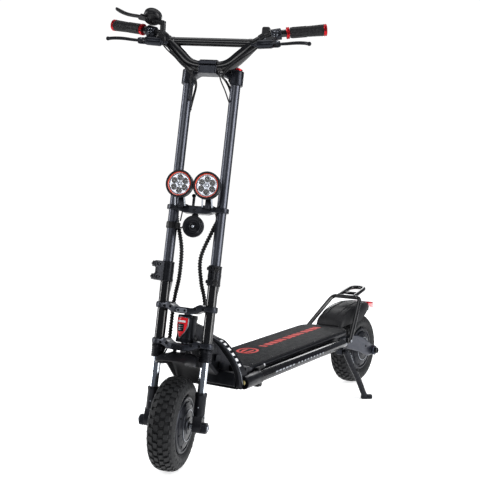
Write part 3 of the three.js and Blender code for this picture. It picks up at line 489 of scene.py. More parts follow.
# ---------------------------------------------------------------- pieces
def piece(name, body, place, material, *shapes, replaces=(), slot=None, bevel=0.0, sharp=32):
    """One object of the given shapes, put in the row frame and hung on its body. The bevel is
    in millimetres; edges that turn by more than the sharp angle stay crisp."""
    points, faces = joined(*shapes)
    mesh = bpy.data.meshes.new(name)
    mesh.from_pydata([place @ p for p in points], [], faces)
    cleaned = bmesh.new()
    cleaned.from_mesh(mesh)
    bmesh.ops.recalc_face_normals(cleaned, faces=cleaned.faces)
    cleaned.to_mesh(mesh)
    cleaned.free()
    mesh.polygons.foreach_set("use_smooth", [True] * len(mesh.polygons))
    mesh.set_sharp_from_angle(angle=math.radians(sharp))
    mesh.materials.append(material)
    made = bpy.data.objects.new(name, mesh)
    bpy.context.scene.collection.objects.link(made)
    if bevel > 0:
        modifier = made.modifiers.new("edges", "BEVEL")
        modifier.width = bevel * MM
        modifier.segments = 2
        modifier.limit_method = "ANGLE"
        modifier.angle_limit = math.radians(sharp)
        modifier.harden_normals = True
    if body:
        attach(made, body)
    if replaces:
        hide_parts(*replaces)
    return made


def maker(body, place):
    """What makes pieces that ride on one body and are drawn in one frame."""
    def make(name, material, *shapes, **options):
        return piece(name, body, place, material, *shapes, **options)

    return make


on_chassis = maker("chassis", CHASSIS)
on_head = maker("chassis", HEAD)
on_fork = maker("fork", FORK)
on_lowers = maker("fork_lowers", FORK)
on_stem = maker("stem", FORK)
on_swingarm = maker("swingarm", CHASSIS)


def keep_node(node, material):
    """A CAD node whose own shape is right: it only gets a finish."""
    shown = frame["nodes"][node]
    shown.data.materials.clear()
    shown.data.materials.append(material)


for inner_node, inner_finish in (
    ("battery_pack", PACK_BLUE), ("motor_controller", CAST), ("bearing_upper", STEEL),
    ("bearing_lower", STEEL), ("steerer_tube", STEEL), ("swingarm_shaft", STEEL),
):
    keep_node(inner_node, inner_finish)


# ---------------------------------------------------------------- wheels
CROWN = [(0, TYRE_RADIUS), (12, 139.6), (20, 138.4), (28, 135.2), (35, 129), (39.5, 121), (41.5, 110)]
# The middle and the width of each column of blocks, outwards from the tread's centre line.
TREAD_COLUMNS = ((7.5, 12.5), (22.5, 13), (34.8, 9))
TREAD_COUNT = 34
TREAD_DEPTH = 5.5
TREAD_SKEW = 0.05


def tread_block(x0, x1, angle, span):
    """One rubber block on the crown between two stations across the tyre."""
    rings = []
    for sink, grow in ((TREAD_DEPTH + 2.5, 1.12), (0.0, 0.9)):
        ring = []
        middle = (x0 + x1) / 2
        half = (x1 - x0) / 2 * grow
        for u, v in ((-1, -1), (1, -1), (1, 1), (-1, 1)):
            x = middle + u * half
            radius = between(CROWN, abs(x)) - sink
            turn = angle + v * span / 2 * grow + TREAD_SKEW * (abs(x) / TYRE_HALF)
            ring.append((x, radius * math.sin(turn), radius * math.cos(turn)))
        rings.append(ring)
    return loft(rings)


def tyre_shapes():
    crown = [(radius - TREAD_DEPTH, x) for x, radius in CROWN[:4]] + [(126, 36.5), (119, 39.8), (110, 41.5)]
    wall = [(103, 41.2), (96, 38.6), (93.5, 36.2), (92.5, 36.4), (90, 34.6), (86, 31), (80.5, 27)]
    half = crown + wall
    profile = [(r, -x) for r, x in reversed(half)] + half[1:]
    carcass = axis_x(lathe(profile, 96, closed=True))
    pitch = 2 * math.pi / TREAD_COUNT
    blocks = []
    for k in range(TREAD_COUNT):
        for column, (x, width) in enumerate(TREAD_COLUMNS):
            for side in (1, -1):
                offset = 0.5 * pitch if (column + (side < 0)) % 2 else 0.0
                span = pitch * (0.66 if column < 2 else 0.58)
                x0, x1 = sorted((side * (x - width / 2), side * (x + width / 2)))
                blocks.append(tread_block(x0, x1, k * pitch + offset, span))
    return carcass, blocks


def sidewall_lugs():
    """Short radial lugs on the shoulders, under the outer blocks."""
    pitch = 2 * math.pi / TREAD_COUNT
    lugs = []
    for k in range(TREAD_COUNT):
        for side in (1, -1):
            turn = k * pitch + (0.25 if side > 0 else 0.75) * pitch
            rings = []
            for radius, x, half in ((127, 35.2, 4.2), (116, 40.6, 3.8), (109, 41.6, 2.6)):
                ring = []
                for dx, dt in ((-2.5, -half), (1.0, -half * 0.8), (1.0, half * 0.8), (-2.5, half)):
                    angle = turn + dt / radius
                    ring.append((side * (x + dx), radius * math.sin(angle), radius * math.cos(angle)))
                rings.append(ring)
            lugs.append(loft(rings))
    return lugs


COVER_PROFILE = [
    (0, 52), (12, 52), (14, 50.5), (24, 50), (27, 47.5), (44, 45.4), (45, 46.6), (47.5, 46.2),
    (48.5, 44.6), (60, 42.4), (68, 39.4), (70, 36), (73, 34.6), (75.5, 35.4), (77.5, 38.6),
    (83, 37.8), (85.4, 35.6), (85, 32), (79, 27),
]


def wheel(prefix, place, centre, wheel_body):
    def at_hub(shape):
        return moved(shape, *centre)

    carcass, blocks = tyre_shapes()
    piece(
        f"{prefix}_tyre_carcass", wheel_body, place, TYRE, at_hub(carcass),
        replaces=(f"{prefix}_tyre",), sharp=40,
    )
    piece(
        f"{prefix}_tyre_tread", wheel_body, place, TYRE, *map(at_hub, blocks),
        *map(at_hub, sidewall_lugs()), bevel=0.8,
    )
    drum = [(r, -x) for r, x in COVER_PROFILE] + [(r, x) for r, x in reversed(COVER_PROFILE)]
    screws, ribs = [], []
    for side in (1, -1):
        for k in range(8):
            angle = 2 * math.pi * (k + 0.5) / 8
            spot = (side * 40.4, 65 * math.cos(angle), 65 * math.sin(angle))
            screws.append(bolt(spot, (side, 0, 0), 3.2, 2.2))
        for k in range(16):
            angle = 2 * math.pi * k / 16
            spoke = loft([
                [(side * (x + dx), r, t * w) for t, dx in ((-1, -2), (-0.7, 0.7), (0.7, 0.7), (1, -2))]
                for r, x, w in ((50, 44.2, 1.6), (59, 42.6, 2.2))
            ])
            ribs.append(placed(spoke, Matrix.Rotation(angle, 4, "X")))
    piece(
        f"{prefix}_motor_drum", wheel_body, place, DARK_SLATE, at_hub(axis_x(lathe(drum, 72))),
        *map(at_hub, ribs), replaces=(f"{prefix}_motor",), bevel=0.3,
    )
    piece(f"{prefix}_motor_screws", wheel_body, place, BLACK_STEEL, *map(at_hub, screws))
    ring = [(45.2, 46.2), (47.2, 45.9), (47.2, 46.9), (45.2, 47.2)]
    rings = [axis_x(lathe([(r, side * x) for r, x in ring], 72, closed=True)) for side in (1, -1)]
    piece(f"{prefix}_motor_ring", wheel_body, place, STEEL, *map(at_hub, rings))
    valve = along(lathe([(0, 0), (3, 0), (3, 9), (2, 10), (2, 19), (3, 20), (3, 25), (0, 26)], 16),
                  (22, 0, 70), (0.6, 0, 0.8))
    piece(f"{prefix}_valve", wheel_body, place, BLACK_STEEL, at_hub(valve), slot="rubber")


wheel("front", FORK, (0, AXLE_Y, 0), "front_wheel")
wheel("rear", CHASSIS, (0, WHEELBASE, TYRE_RADIUS), "rear_wheel")


# ---------------------------------------------------------------- fork, sprung lower part
def octagon(y, z, half, corner):
    return [
        (y - half, z - half + corner), (y - half + corner, z - half), (y + half - corner, z - half),
        (y + half, z - half + corner), (y + half, z + half - corner), (y + half - corner, z + half),
        (y - half + corner, z + half), (y - half, z + half - corner),
    ]


for name, side in SIDES:
    leg_axis = (side * STEM_X, STEM_Y, 0)
    dy = AXLE_Y - STEM_Y
    stanchion = lathe([
        (0, 46), (STANCHION_RADIUS, 46), (STANCHION_RADIUS, STANCHION_TOP), (0, STANCHION_TOP),
    ], 56)
    on_lowers(
        f"stanchion_tube_{name}", CHROME, moved(stanchion, *leg_axis), replaces=(f"stanchion_{name}",),
    )
    leg = lathe([
        (0, 22), (14, 22), (16.5, 26), (17, 40), (17, 88), (17.8, 90), (18.2, 92), (18.2, 99), (17, 101),
        (13.2, 101), (13.2, 60), (0, 60),
    ], 48)
    lug_outline = [(dy + 18 * math.cos(a), 18 * math.sin(a)) for a in
                   [math.pi + math.pi * i / 12 for i in range(13)]]
    lug_outline += [(16, 14), (14, 32), (-16, 32), (dy - 18, 12)]
    lug = mirrored(plate_yz(lug_outline, -13, 15), side)
    end_block = mirrored(plate_yz(octagon(dy, -1, 15.5, 5.5), 15, 29), side)
    cap = mirrored(plate_yz(octagon(dy, -1, 12, 4.5), 28.5, 31), side)
    on_lowers(
        f"fork_leg_casting_{name}", SATIN_BLACK, moved(leg, *leg_axis), moved(lug, *leg_axis),
        replaces=(f"fork_leg_{name}",), bevel=1.4,
    )
    on_lowers(
        f"axle_block_{name}", DARK_SLATE, moved(end_block, *leg_axis), moved(cap, *leg_axis), bevel=1.8,
    )
    out = (side, 0, 0)
    studs = [bolt((side * (STEM_X + 16.6), STEM_Y - 4, 33), out, 3.0, 2.0)]
    studs.append(bolt((side * STEM_X, STEM_Y - 16.8, 58), (0, -1, 0), 2.2, 1.6))
    on_lowers(f"leg_screws_{name}", STEEL, *studs)
on_lowers(
    "front_axle_shaft", STEEL, rod((-104, AXLE_Y, 0), (104, AXLE_Y, 0), 8),
    *[bolt((side * 104, AXLE_Y, 0), (side, 0, 0), 9.5, 5) for _, side in SIDES],
    replaces=("front_axle",),
)


# ---------------------------------------------------------------- fork, upper part
HINGE_EAR = [(10, 388), (17, 388), (29, 419), (29.5, 427), (26, 431), (20, 431), (16, 427), (10, 425)]

for name, side in SIDES:
    leg_axis = (side * STEM_X, STEM_Y, 0)
    wall = [
        (0, 400), (12.9, 400), (12.9, 191), (OUTER_TUBE_RADIUS, 191), (OUTER_TUBE_RADIUS, 423), (0, 424),
    ]
    ears = [plate_yz(HINGE_EAR, *sorted((half * 5.3, half * 12))) for half in (1, -1)]
    on_fork(
        f"outer_tube_wall_{name}", GLOSS_BLACK, moved(lathe(wall, 56), *leg_axis),
        *[moved(ear, *leg_axis) for ear in ears], replaces=(f"outer_tube_{name}",), bevel=0.8,
    )
    seal = [(13.1, SEAL_BOTTOM), (18.5, SEAL_BOTTOM), (20, SEAL_BOTTOM + 2)]
    for k in range(5):
        z = SEAL_BOTTOM + 4 + 5.4 * k
        seal += [(20, z), (18.6, z + 0.9), (18.6, z + 2.2), (20, z + 3.1)]
    seal += [(20, 221), (18.8, 223), (18.2, SEAL_TOP - 2), (16.1, SEAL_TOP), (13.1, SEAL_TOP)]
    knurl = [
        placed(block(19.6, 0, 224.5, 1.6, 2.0, 7, 0.4), Matrix.Rotation(2 * math.pi * k / 28, 4, "Z"))
        for k in range(28)
    ]
    on_fork(
        f"dust_seal_{name}", SATIN_BLACK, moved(lathe(seal, 56, closed=True), *leg_axis),
        *[moved(tooth, *leg_axis) for tooth in knurl], bevel=0.3,
    )
    pin = rod((side * STEM_X - 13.6, HINGE_Y, HINGE_Z), (side * STEM_X + 13.6, HINGE_Y, HINGE_Z), 4.6)
    on_fork(f"fold_pin_{name}", STEEL, pin)


CLAMP_REACH = 22


def clamp_front(x, nose):
    """The y of a clamp's front face at a distance x from its middle."""
    if x > STEM_X:
        return STEM_Y - math.sqrt(max(CLAMP_REACH**2 - (x - STEM_X) ** 2, 0))
    return between([(18, STEM_Y - nose), (STEM_X, STEM_Y - CLAMP_REACH)], x)


def clamp_back(x, boss):
    """The y of a clamp's back face at a distance x from its middle, round a boss if it has one."""
    if x > STEM_X:
        return STEM_Y + math.sqrt(max(CLAMP_REACH**2 - (x - STEM_X) ** 2, 0))
    if boss > 0:
        rim = math.sqrt(boss**2 - min(x, boss) ** 2) if x < boss * 0.955 else 0
        line = between([(boss * 0.955, 8), (STEM_X, STEM_Y + CLAMP_REACH)], x)
        return max(rim, line) if x < boss * 0.955 else line
    return between([(30, STEM_Y + 8), (STEM_X, STEM_Y + CLAMP_REACH)], x)


CLAMP_STATIONS = (0, 8, 16, 20, 25, 30, 34, 38, 42, 47, 51, 56, 62, 68, 75, 82, 87, 91, 94, 96, 96.9)


def clamp_shape(nose, boss, underside, topside, corner=2.5):
    """A clamp across both tubes as a skin of rounded sections from end to end. The underside
    and the topside are (distance from the middle, z) lines."""
    rings = []
    stations = [-x for x in reversed(CLAMP_STATIONS[1:])] + list(CLAMP_STATIONS)
    for x in stations:
        y0, y1 = clamp_front(abs(x), nose), clamp_back(abs(x), boss)
        z0, z1 = between(underside, abs(x)), between(topside, abs(x))
        radius = min(corner, (y1 - y0) * 0.45)
        rings.append([(x, y, z) for y, z in rounded(y0, z0, y1, z1, radius, 2)])
    return loft(rings)


def fork_clamp(name, z):
    underside = [(0, z - 18), (34, z - 17), (50, z - 9), (62, z - 6), (98, z - 5)]
    topside = [(0, z), (31, z + 1), (42, z + 9), (52, z + 14), (62, z + 8), (98, z + 7)]
    on_fork(
        f"{name}_casting", SLATE, clamp_shape(48, 27, underside, topside), replaces=(name,), bevel=0.6,
        sharp=22,
    )
    collars = []
    for _, side in SIDES:
        collar = wall_arc(OUTER_TUBE_RADIUS + 0.2, 21.2, z - 8, z + 10, 0, 360, 48)
        collars.append(moved(collar, side * STEM_X, STEM_Y, 0))
    on_fork(f"{name}_collars", DARK_SLATE, *collars, slot="slate_paint")
    screws = []
    for _, side in SIDES:
        for dx in (-11, 11):
            spot = (side * 50 + dx, clamp_front(abs(side * 50 + dx), 48) + 0.5, z - 1)
            screws.append(bolt(spot, (0, -1, 0), 4.2, 3.2))
    on_fork(f"{name}_screws", BLACK_STEEL, *screws)


fork_clamp("lower_clamp", LOWER_CLAMP_Z)
fork_clamp("middle_clamp", MIDDLE_CLAMP_Z)
FACE_Y = STEM_Y - 48
plate_outline = rounded(-17, MIDDLE_CLAMP_Z - 15, 17, MIDDLE_CLAMP_Z - 3, 5)
on_fork("middle_clamp_plate", STEEL, panel_xz(plate_outline, FACE_Y - 1.6, FACE_Y + 1), bevel=0.5)
on_fork(
    "middle_clamp_plate_screws", BLACK_STEEL,
    *[bolt((x, FACE_Y - 1.4, MIDDLE_CLAMP_Z - 9), (0, -1, 0), 3.4, 2.2) for x in (-10, 10)],
)
arch = [
    (-24, LOWER_CLAMP_Z - 15), (24, LOWER_CLAMP_Z - 15), (20, LOWER_CLAMP_Z - 7),
    (8, LOWER_CLAMP_Z - 3), (-8, LOWER_CLAMP_Z - 3), (-20, LOWER_CLAMP_Z - 7),
]
on_fork(
    "lower_clamp_arch", SATIN_BLACK,
    panel_xz([(x * 0.72, z) for x, z in arch], FACE_Y - 1.2, FACE_Y + 2), bevel=0.5,
)


def arch_ring(width, depth, wall, steps=12):
    """A mudguard's section: out along the top and back along the underside, as (x, up)."""
    outer, inner = [], []
    for i in range(steps + 1):
        angle = math.pi * i / steps
        cosine, sine = math.cos(angle), max(math.sin(angle), 0)
        c = math.copysign(abs(cosine) ** 0.55, cosine)
        s = sine**0.55
        outer.append((width * c, depth * (s - 1)))
        inner.append(((width - wall) * c, (depth - wall) * s - depth))
    return outer + inner[::-1]


def front_fender():
    stations = [
        (26, 211, 42, 8), (19, 211, 58, 24), (10, 211, 60, 34), (4, 211, 52.5, 38), (-8, 211, 52.5, 38),
        (-20, 207, 56, 36), (-34, 199, 54, 30), (-45, 190, 48, 18), (-52, 184, 32, 8),
    ]
    rings = []
    for degrees, radius, width, depth in smooth_path(stations, 5):
        angle = math.radians(degrees)
        up = Vector((0, -math.sin(angle), math.cos(angle)))
        centre = up * radius + Vector((0, AXLE_Y, 0))
        rings.append([centre + X_AXIS * x + up * v for x, v in arch_ring(width, depth, 3)])
    ridge_path = []
    for degrees, radius, _, _ in smooth_path(stations[1:-1], 4):
        angle = math.radians(degrees)
        ridge_path.append((AXLE_Y - math.sin(angle) * radius, math.cos(angle) * radius - 1.6))
    ridges = [tube([(side * 24, y, z) for y, z in ridge_path], 2.2, sides=8, steps=1) for _, side in SIDES]
    posts = [rod((side * 20, STEM_Y - 8, 205), (side * 20, STEM_Y - 8, LOWER_CLAMP_Z - 16), 6)
             for _, side in SIDES]
    on_fork(
        "front_fender_shell", PLASTIC, loft(rings), *ridges, *posts, replaces=("front_fender",),
        sharp=50,
    )
    heads = [bolt((side * 20, STEM_Y - 32, 209.5), (0, -0.2, 1), 4, 2.4) for _, side in SIDES]
    on_fork("front_fender_screws", BLACK_STEEL, *heads)


front_fender()

# ---------------------------------------------------------------- folding stem
EAR_TURN = {"left": 0.0, "right": -38.0}
# The sleeve is open behind for the hinge.
SLEEVE_ARC = (133, 407)
for name, side in SIDES:
    tube_axis = (side * STEM_X, STEM_Y, 0)
    foot = HINGE_Z + 0.3
    wall = [(0, foot), (15.1, foot), (STEM_RADIUS, foot + 0.5), (STEM_RADIUS, STEM_TOP), (0, STEM_TOP)]
    stem_wall = lathe(wall, 56)
    lug = plate_yz([(10, foot), (27, 419), (30, 424), (28, 430), (17, 449), (10, 449)], -4.9, 4.9)
    on_stem(
        f"stem_tube_wall_{name}", TUBE_BLACK, moved(stem_wall, *tube_axis), moved(lug, *tube_axis),
        replaces=(f"stem_tube_{name}",), bevel=0.6,
    )
    cap_ring = lathe([(7, STEM_TOP), (16.6, STEM_TOP), (17, STEM_TOP + 1), (17, STEM_TOP + 4.4),
                      (15.8, STEM_TOP + 5.6), (7, STEM_TOP + 5.6)], 48, closed=True)
    on_stem(f"stem_cap_{name}", RED_ALLOY, moved(cap_ring, *tube_axis))
    knob = lathe([(0, STEM_TOP + 2), (9.5, STEM_TOP + 2), (9.5, STEM_TOP + 8), (7.5, STEM_TOP + 10),
                  (4, STEM_TOP + 10), (3.4, STEM_TOP + 7.5), (0, STEM_TOP + 7.5)], 32)
    on_stem(f"stem_cap_knob_{name}", BLACK_STEEL, moved(knob, *tube_axis), slot="black_plastic")

    turn = Matrix.Translation(tube_axis) @ Matrix.Rotation(math.radians(EAR_TURN[name]), 4, "Z")
    collar = wall_arc(16.4, SLEEVE_RADIUS, SLEEVE_BOTTOM, SLEEVE_TOP, *SLEEVE_ARC)
    rings = [wall_arc(16.4, 20.9, z, z + 4, *SLEEVE_ARC) for z in (SLEEVE_BOTTOM + 1, SLEEVE_TOP - 5)]
    band = wall_arc(16.4, 20.5, 442, 455, *SLEEVE_ARC)
    ear_outline = [(-44, 422), (-40, 419), (-17, 419), (-17, 478), (-40, 478), (-44, 475), (-44, 461),
                   (-38, 456), (-38, 441), (-44, 436)]
    pinch_ears = [plate_yz(ear_outline, *sorted((half * 1.1, half * 8.5))) for half in (1, -1)]
    sleeve_body = f"sleeve_{name}"
    piece(
        f"fold_sleeve_wall_{name}", sleeve_body, FORK, SATIN_BLACK,
        *[moved(s, *tube_axis) for s in (collar, *rings, band)],
        *[placed(ear, turn) for ear in pinch_ears], replaces=(f"fold_sleeve_{name}",), bevel=1.0,
    )
    stars, heads = [], []
    for z in (SLEEVE_BOTTOM + 11, SLEEVE_TOP - 11):
        star = []
        for k in range(36):
            angle = 2 * math.pi * k / 36
            reach = 8.6 + 1.1 * math.cos(6 * angle)
            star.append((-36 + reach * math.cos(angle), z + reach * math.sin(angle)))
        stars.append(placed(mirrored(plate_yz(star, 11.5, 21.5), side), turn))
        shaft = rod((side * 8, -36, z), (side * 14, -36, z), 4)
        stars.append(placed(shaft, turn))
        heads.append(placed(bolt((-side * 8.4, -36, z), (-side, 0, 0), 5.4, 6), turn))
        heads.append(placed(bolt((side * 21.2, -36, z), (side, 0, 0), 3.2, 1.6), turn))
    piece(f"fold_knobs_{name}", sleeve_body, FORK, PLASTIC, *stars, bevel=1.2)
    piece(f"fold_screws_{name}", sleeve_body, FORK, BLACK_STEEL, *heads)

# ---------------------------------------------------------------- lights and horn
Z = LIGHT_BRACKET_Z
bracket_casting = clamp_shape(
    34, 0,
    [(0, Z - 17), (36, Z - 16), (52, Z - 9), (98, Z - 7)],
    [(0, Z + 6), (34, Z + 7), (48, Z + 13), (62, Z + 8), (98, Z + 7)],
)
bracket_parts = [bracket_casting]
for name, side in SIDES:
    back_y = LIGHT[1] + 38.3
    bracket_parts.append(panel_xz(rounded(side * LIGHT[0] - 9, Z - 2, side * LIGHT[0] + 9, Z + 72, 5),
                                  back_y, back_y + 3))
    shelf = rounded(side * 34 - 12, STEM_Y - 44, side * 34 + 12, STEM_Y - 8, 4)
    bracket_parts.append(slab(shelf, Z + 1, Z + 8))
on_stem(
    "light_bracket_casting", SLATE, *bracket_parts, replaces=("light_bracket",), bevel=0.6, sharp=22,
)
bracket_screws = []
for _, side in SIDES:
    for dx in (-10, 10):
        x = side * 52 + dx
        bracket_screws.append(bolt((x, clamp_front(abs(x), 34) + 0.4, Z), (0, -1, 0), 3.8, 3))
bracket_screws.append(bolt((0, STEM_Y - 33.6, Z - 8), (0, -1, 0), 5, 4))
on_stem("light_bracket_screws", BLACK_STEEL, *bracket_screws)


def headlight(name, side):
    x, y, z = side * LIGHT[0], LIGHT[1], LIGHT[2]

    def at_lamp(shape):
        return moved(shape, x, y, z)

    housing = [
        (0, 9), (35.3, 9), (35.3, 1.4), (36.4, -0.6), (40.4, -0.6), (41.5, 0.8), (41.5, 9), (40.8, 10),
        (37.6, 10.4), (37.6, 12.6), (41, 13.2), (41, 15.6), (37.2, 16.2), (37.2, 18.6), (40, 19.2),
        (40, 21.4), (35, 22.4), (34, 24), (29, 27.6), (29, 30), (27.5, 31), (27.5, 38), (0, 38),
    ]
    on_stem(
        f"headlight_housing_{name}", SATIN_BLACK, at_lamp(axis_y(lathe(housing, 64))),
        replaces=(f"headlight_{name}",),
    )
    trim = [(32.6, 2.2), (33.2, 1.2), (34.8, 1.0), (35.4, 1.8), (35.4, 4), (32.6, 4)]
    on_stem(f"headlight_ring_{name}", ORANGE_TRIM, at_lamp(axis_y(lathe(trim, 64, closed=True))))
    bowl = [(33, 3.6), (31, 4.4), (29.5, 7.2), (8, 7.4), (6, 5.6), (4, 4.6), (0, 4.4)]
    bowl += [(0, 8.6), (33, 8.6)]
    walls, wells, chips = [], [], []
    for k in range(6):
        angle = math.pi / 3 * k + math.pi / 6
        spot = (19 * math.cos(angle), 0, 19 * math.sin(angle))
        rim = [(9.2, 7.6), (9.2, 3.4), (8.9, 2.8), (8.5, 3.2), (8.2, 4.4), (8.2, 7.6)]
        well = [(8.5, 3.6), (7.4, 5), (4, 6.6), (0, 6.8), (0, 7.4), (8.5, 7.4)]
        chip = [(0, 5.6), (1.4, 5.8), (2, 6.3), (2, 6.9), (0, 6.9)]
        walls.append(moved(axis_y(lathe(rim, 28, closed=True)), *spot))
        wells.append(moved(axis_y(lathe(well, 28)), *spot))
        chips.append(moved(axis_y(lathe(chip, 20)), *spot))
    on_stem(
        f"headlight_reflector_{name}", MIRROR, at_lamp(axis_y(lathe(bowl, 64))), *map(at_lamp, walls),
    )
    on_stem(f"headlight_wells_{name}", CUP_DARK, *map(at_lamp, wells))
    on_stem(f"headlight_chips_{name}", STEEL, *map(at_lamp, chips), slot="lamp_silver")
    glass = lathe([(0, 1.2), (30, 1.2), (33.4, 1.8), (33.4, 2.2), (30, 1.7), (0, 1.7)], 64)
    on_stem(f"headlight_glass_{name}", GLASS, at_lamp(axis_y(glass)))
    posts = [rod((x + dx, y + 22, z - 36), (x + dx * 1.1, y + 34, Z + 2), 2.4) for dx in (-14, 14)]
    on_stem(f"headlight_posts_{name}", STEEL, *posts)


for name, side in SIDES:
    headlight(name, side)
on_stem(
    "headlight_tie_bolt", BLACK_STEEL,
    rod((0, LIGHT[1] + 30, LIGHT[2] - 34), (0, LIGHT[1] + 30, Z + 4), 4.2),
    bolt((0, LIGHT[1] + 29, LIGHT[2] - 31), (0, -0.9, 0.3), 6, 5),
)

horn_profile = [
    (0, -2), (4.5, -2), (5.5, -1), (5.5, 2.6), (8, 3.4), (10, 2.4), (12, 3.6), (14.5, 4.2), (17, 3),
    (19.5, 3.8), (22.5, 2.6), (25, 1), (27, 1.6), (29, 0), (31.5, 0), (33, 1.4), (33, 9), (31, 11),
    (26.5, 14), (24.5, 18), (22, 20), (22, 30), (0, 30),
]
HORN_HANG = 39
strap_outline = rounded(-10, 8, 10, HORN_HANG, 4)
on_stem(
    "horn_shell", SATIN_BLACK, moved(axis_y(lathe(horn_profile, 64)), *HORN),
    moved(panel_xz(strap_outline, 10.5, 14.5), *HORN), replaces=("horn",), bevel=0.3,
)
horn_centre = lathe([(0, -3.6), (2.6, -3.4), (4, -2), (4, 2), (0, 2)], 32)
on_stem("horn_centre_boss", STEEL, moved(axis_y(horn_centre), *HORN))
strap_block = [
    moved(wall_arc(STEM_RADIUS + 0.2, 18.6, 580, 600, 0, 360), -STEM_X, STEM_Y, 0),
    block(-56, STEM_Y - 6, 590, 14, 14, 17),
]
on_stem("horn_side_strap", PLASTIC, *strap_block, bevel=1.0)

# ---------------------------------------------------------------- handlebar
top_underside = [(0, 1057), (40, 1055), (56, 1046), (58, 1028), (95, 1028), (98, 1028)]
top_topside = [(0, 1077), (34, 1077), (48, 1080), (60, 1073), (95, 1072), (98, 1072)]
bar_seat = slab(rounded(-29, BAR_Y - 18, 29, BAR_Y + 24, 6), BAR_Z - 25, BAR_Z - 0.5)
on_stem(
    "yoke_casting", SLATE, clamp_shape(34, 0, top_underside, top_topside, 3), bar_seat,
    replaces=("top_clamp",), bevel=0.8, sharp=22,
)
yoke_screws = []
for _, side in SIDES:
    for z in (1037, 1061):
        yoke_screws.append(bolt((side * 62, clamp_front(62, 34) + 0.5, z), (0, -1, 0), 4.2, 3.4))
on_stem("yoke_screws", BLACK_STEEL, *yoke_screws)
saddle_rings = []
for i in range(17):
    angle = math.pi * i / 16
    y, z = math.cos(angle), math.sin(angle)
    inner = (BAR_Y + 16.2 * y, BAR_Z + 16.2 * z)
    outer = (BAR_Y + 20.5 * y, BAR_Z + 1 + 19.5 * z)
    saddle_rings.append([(-27, *inner), (27, *inner), (27, *outer), (-27, *outer)])
flanges = [slab(rounded(-28, y0, 28, y1, 3), BAR_Z + 0.6, BAR_Z + 9)
           for y0, y1 in ((BAR_Y - 29, BAR_Y - 15), (BAR_Y + 15, BAR_Y + 27))]
on_stem("bar_clamp_cap", SLATE, loft(saddle_rings), *flanges, replaces=("handlebar_clamp",), bevel=0.8)
on_stem(
    "bar_clamp_screws", BLACK_STEEL,
    *[bolt((x, y, BAR_Z + 8.6), (0, 0, 1), 4.4, 4) for x in (-19, 19) for y in (BAR_Y - 23, BAR_Y +
        21)],
)

BAR_HALF = [
    (0, BAR_Y, BAR_Z, 16), (36, BAR_Y, BAR_Z, 16.6), (66, BAR_Y, 1080, 18.8), (98, BAR_Y - 1, 1108, 19),
    (130, BAR_Y - 2, 1139, 16), (162, BAR_Y - 1, 1163, 12.5), (190, BAR_Y + 1, 1174, 11),
    (222, BAR_Y + 6, 1181, 11), (281, BAR_Y + 20, 1192.5, 11), (336, BAR_Y + 33, 1203, 11),
]
bar_path = [(-x, y, z, r) for x, y, z, r in reversed(BAR_HALF[1:])] + BAR_HALF
on_stem("handlebar_tube", GLOSS_BLACK, tube(bar_path, sides=36, steps=8), replaces=("handlebar",))
cross_ends = [rod((side * 116, BAR_Y - 2, 1145), (side * 131, BAR_Y - 2, 1145), 13.4) for _, side in SIDES]
on_stem(
    "crossbar_tube", GLOSS_BLACK, rod((-130, BAR_Y - 2, 1145), (130, BAR_Y - 2, 1145), 12.6),
    *cross_ends, replaces=("crossbar",),
)

GRIP_START = Vector((222, BAR_Y + 6, 1181))
GRIP_ALONG = Vector((114, 27, 22)).normalized()


def grip_rubber_profile():
    profile = [(11, 13.5), (15.4, 13.5)]
    for k in range(24):
        s = 14.5 + k * 4
        swell = 15.0 + 1.4 * max(0, (s - 60) / 50)
        profile += [(swell, s), (swell + 0.8, s + 0.8), (swell + 0.8, s + 2.4), (swell, s + 3.2)]
    return profile + [(16.6, 111.5), (11, 111.5)]


for name, side in SIDES:
    direction = Vector((side * GRIP_ALONG.x, GRIP_ALONG.y, GRIP_ALONG.z))
    start = Vector((side * GRIP_START.x, GRIP_START.y, GRIP_START.z))
    grip = along(lathe(grip_rubber_profile(), 44, closed=True), start, direction)
    ridges = []
    for k in range(9):
        angle = 2 * math.pi * k / 9
        ridge = [(15.2 * math.cos(angle), 15.2 * math.sin(angle), s) for s in (18, 40, 62)]
        ridges.append(along(tube([(*p, 1.5) for p in ridge], sides=8, steps=3), start, direction))
    on_stem(f"grip_rubber_{name}", RUBBER, grip, *ridges, replaces=(f"grip_{name}",), sharp=50)
    rings = []
    for s in (2, 112):
        ring = [(11.2, s), (16.6, s), (17.5, s + 1), (17.5, s + 3.4), (16.9, s + 4), (16.9, s + 5.2),
                (17.5, s + 5.8), (17.5, s + 8), (16.6, s + 9), (11.2, s + 9)]
        rings.append(along(lathe(ring, 44, closed=True), start, direction))
    on_stem(f"grip_rings_{name}", RED_ALLOY, *rings)
    plug = lathe([(0, 119), (14.6, 119), (15, 120.4), (12, 122), (0, 122.4)], 36)
    screw_spots = [start + direction * s + Vector((0, -15, -8)) for s in (6.6, 116)]
    on_stem(
        f"grip_plug_{name}", RUBBER, along(plug, start, direction),
        *[bolt(spot, (0, -0.88, -0.47), 2.4, 2) for spot in screw_spots],
    )


# ---------------------------------------------------------------- hand controls
BALL_RADIUS = 6.2


def lever_frame(pivot, tip, target):
    """A lever's frame: origin on its pivot, X towards its tip and Y towards the grip."""
    x = (Vector(tip) - Vector(pivot)).normalized()
    pull = Vector(target) - Vector(tip)
    y = (pull - x * pull.dot(x)).normalized()
    return rigid_frame(x, y, x.cross(y), pivot)


def bar_collar(side, start, end, radius):
    """A round clamp on one side of the bar. The start and the end are given for the left side."""
    a, b = [Vector((side * x, y, z)) for x, y, z in (start, end)]
    return rod(a, b, radius, 40, 1.2)


BLADE_THICKNESS = 3.0


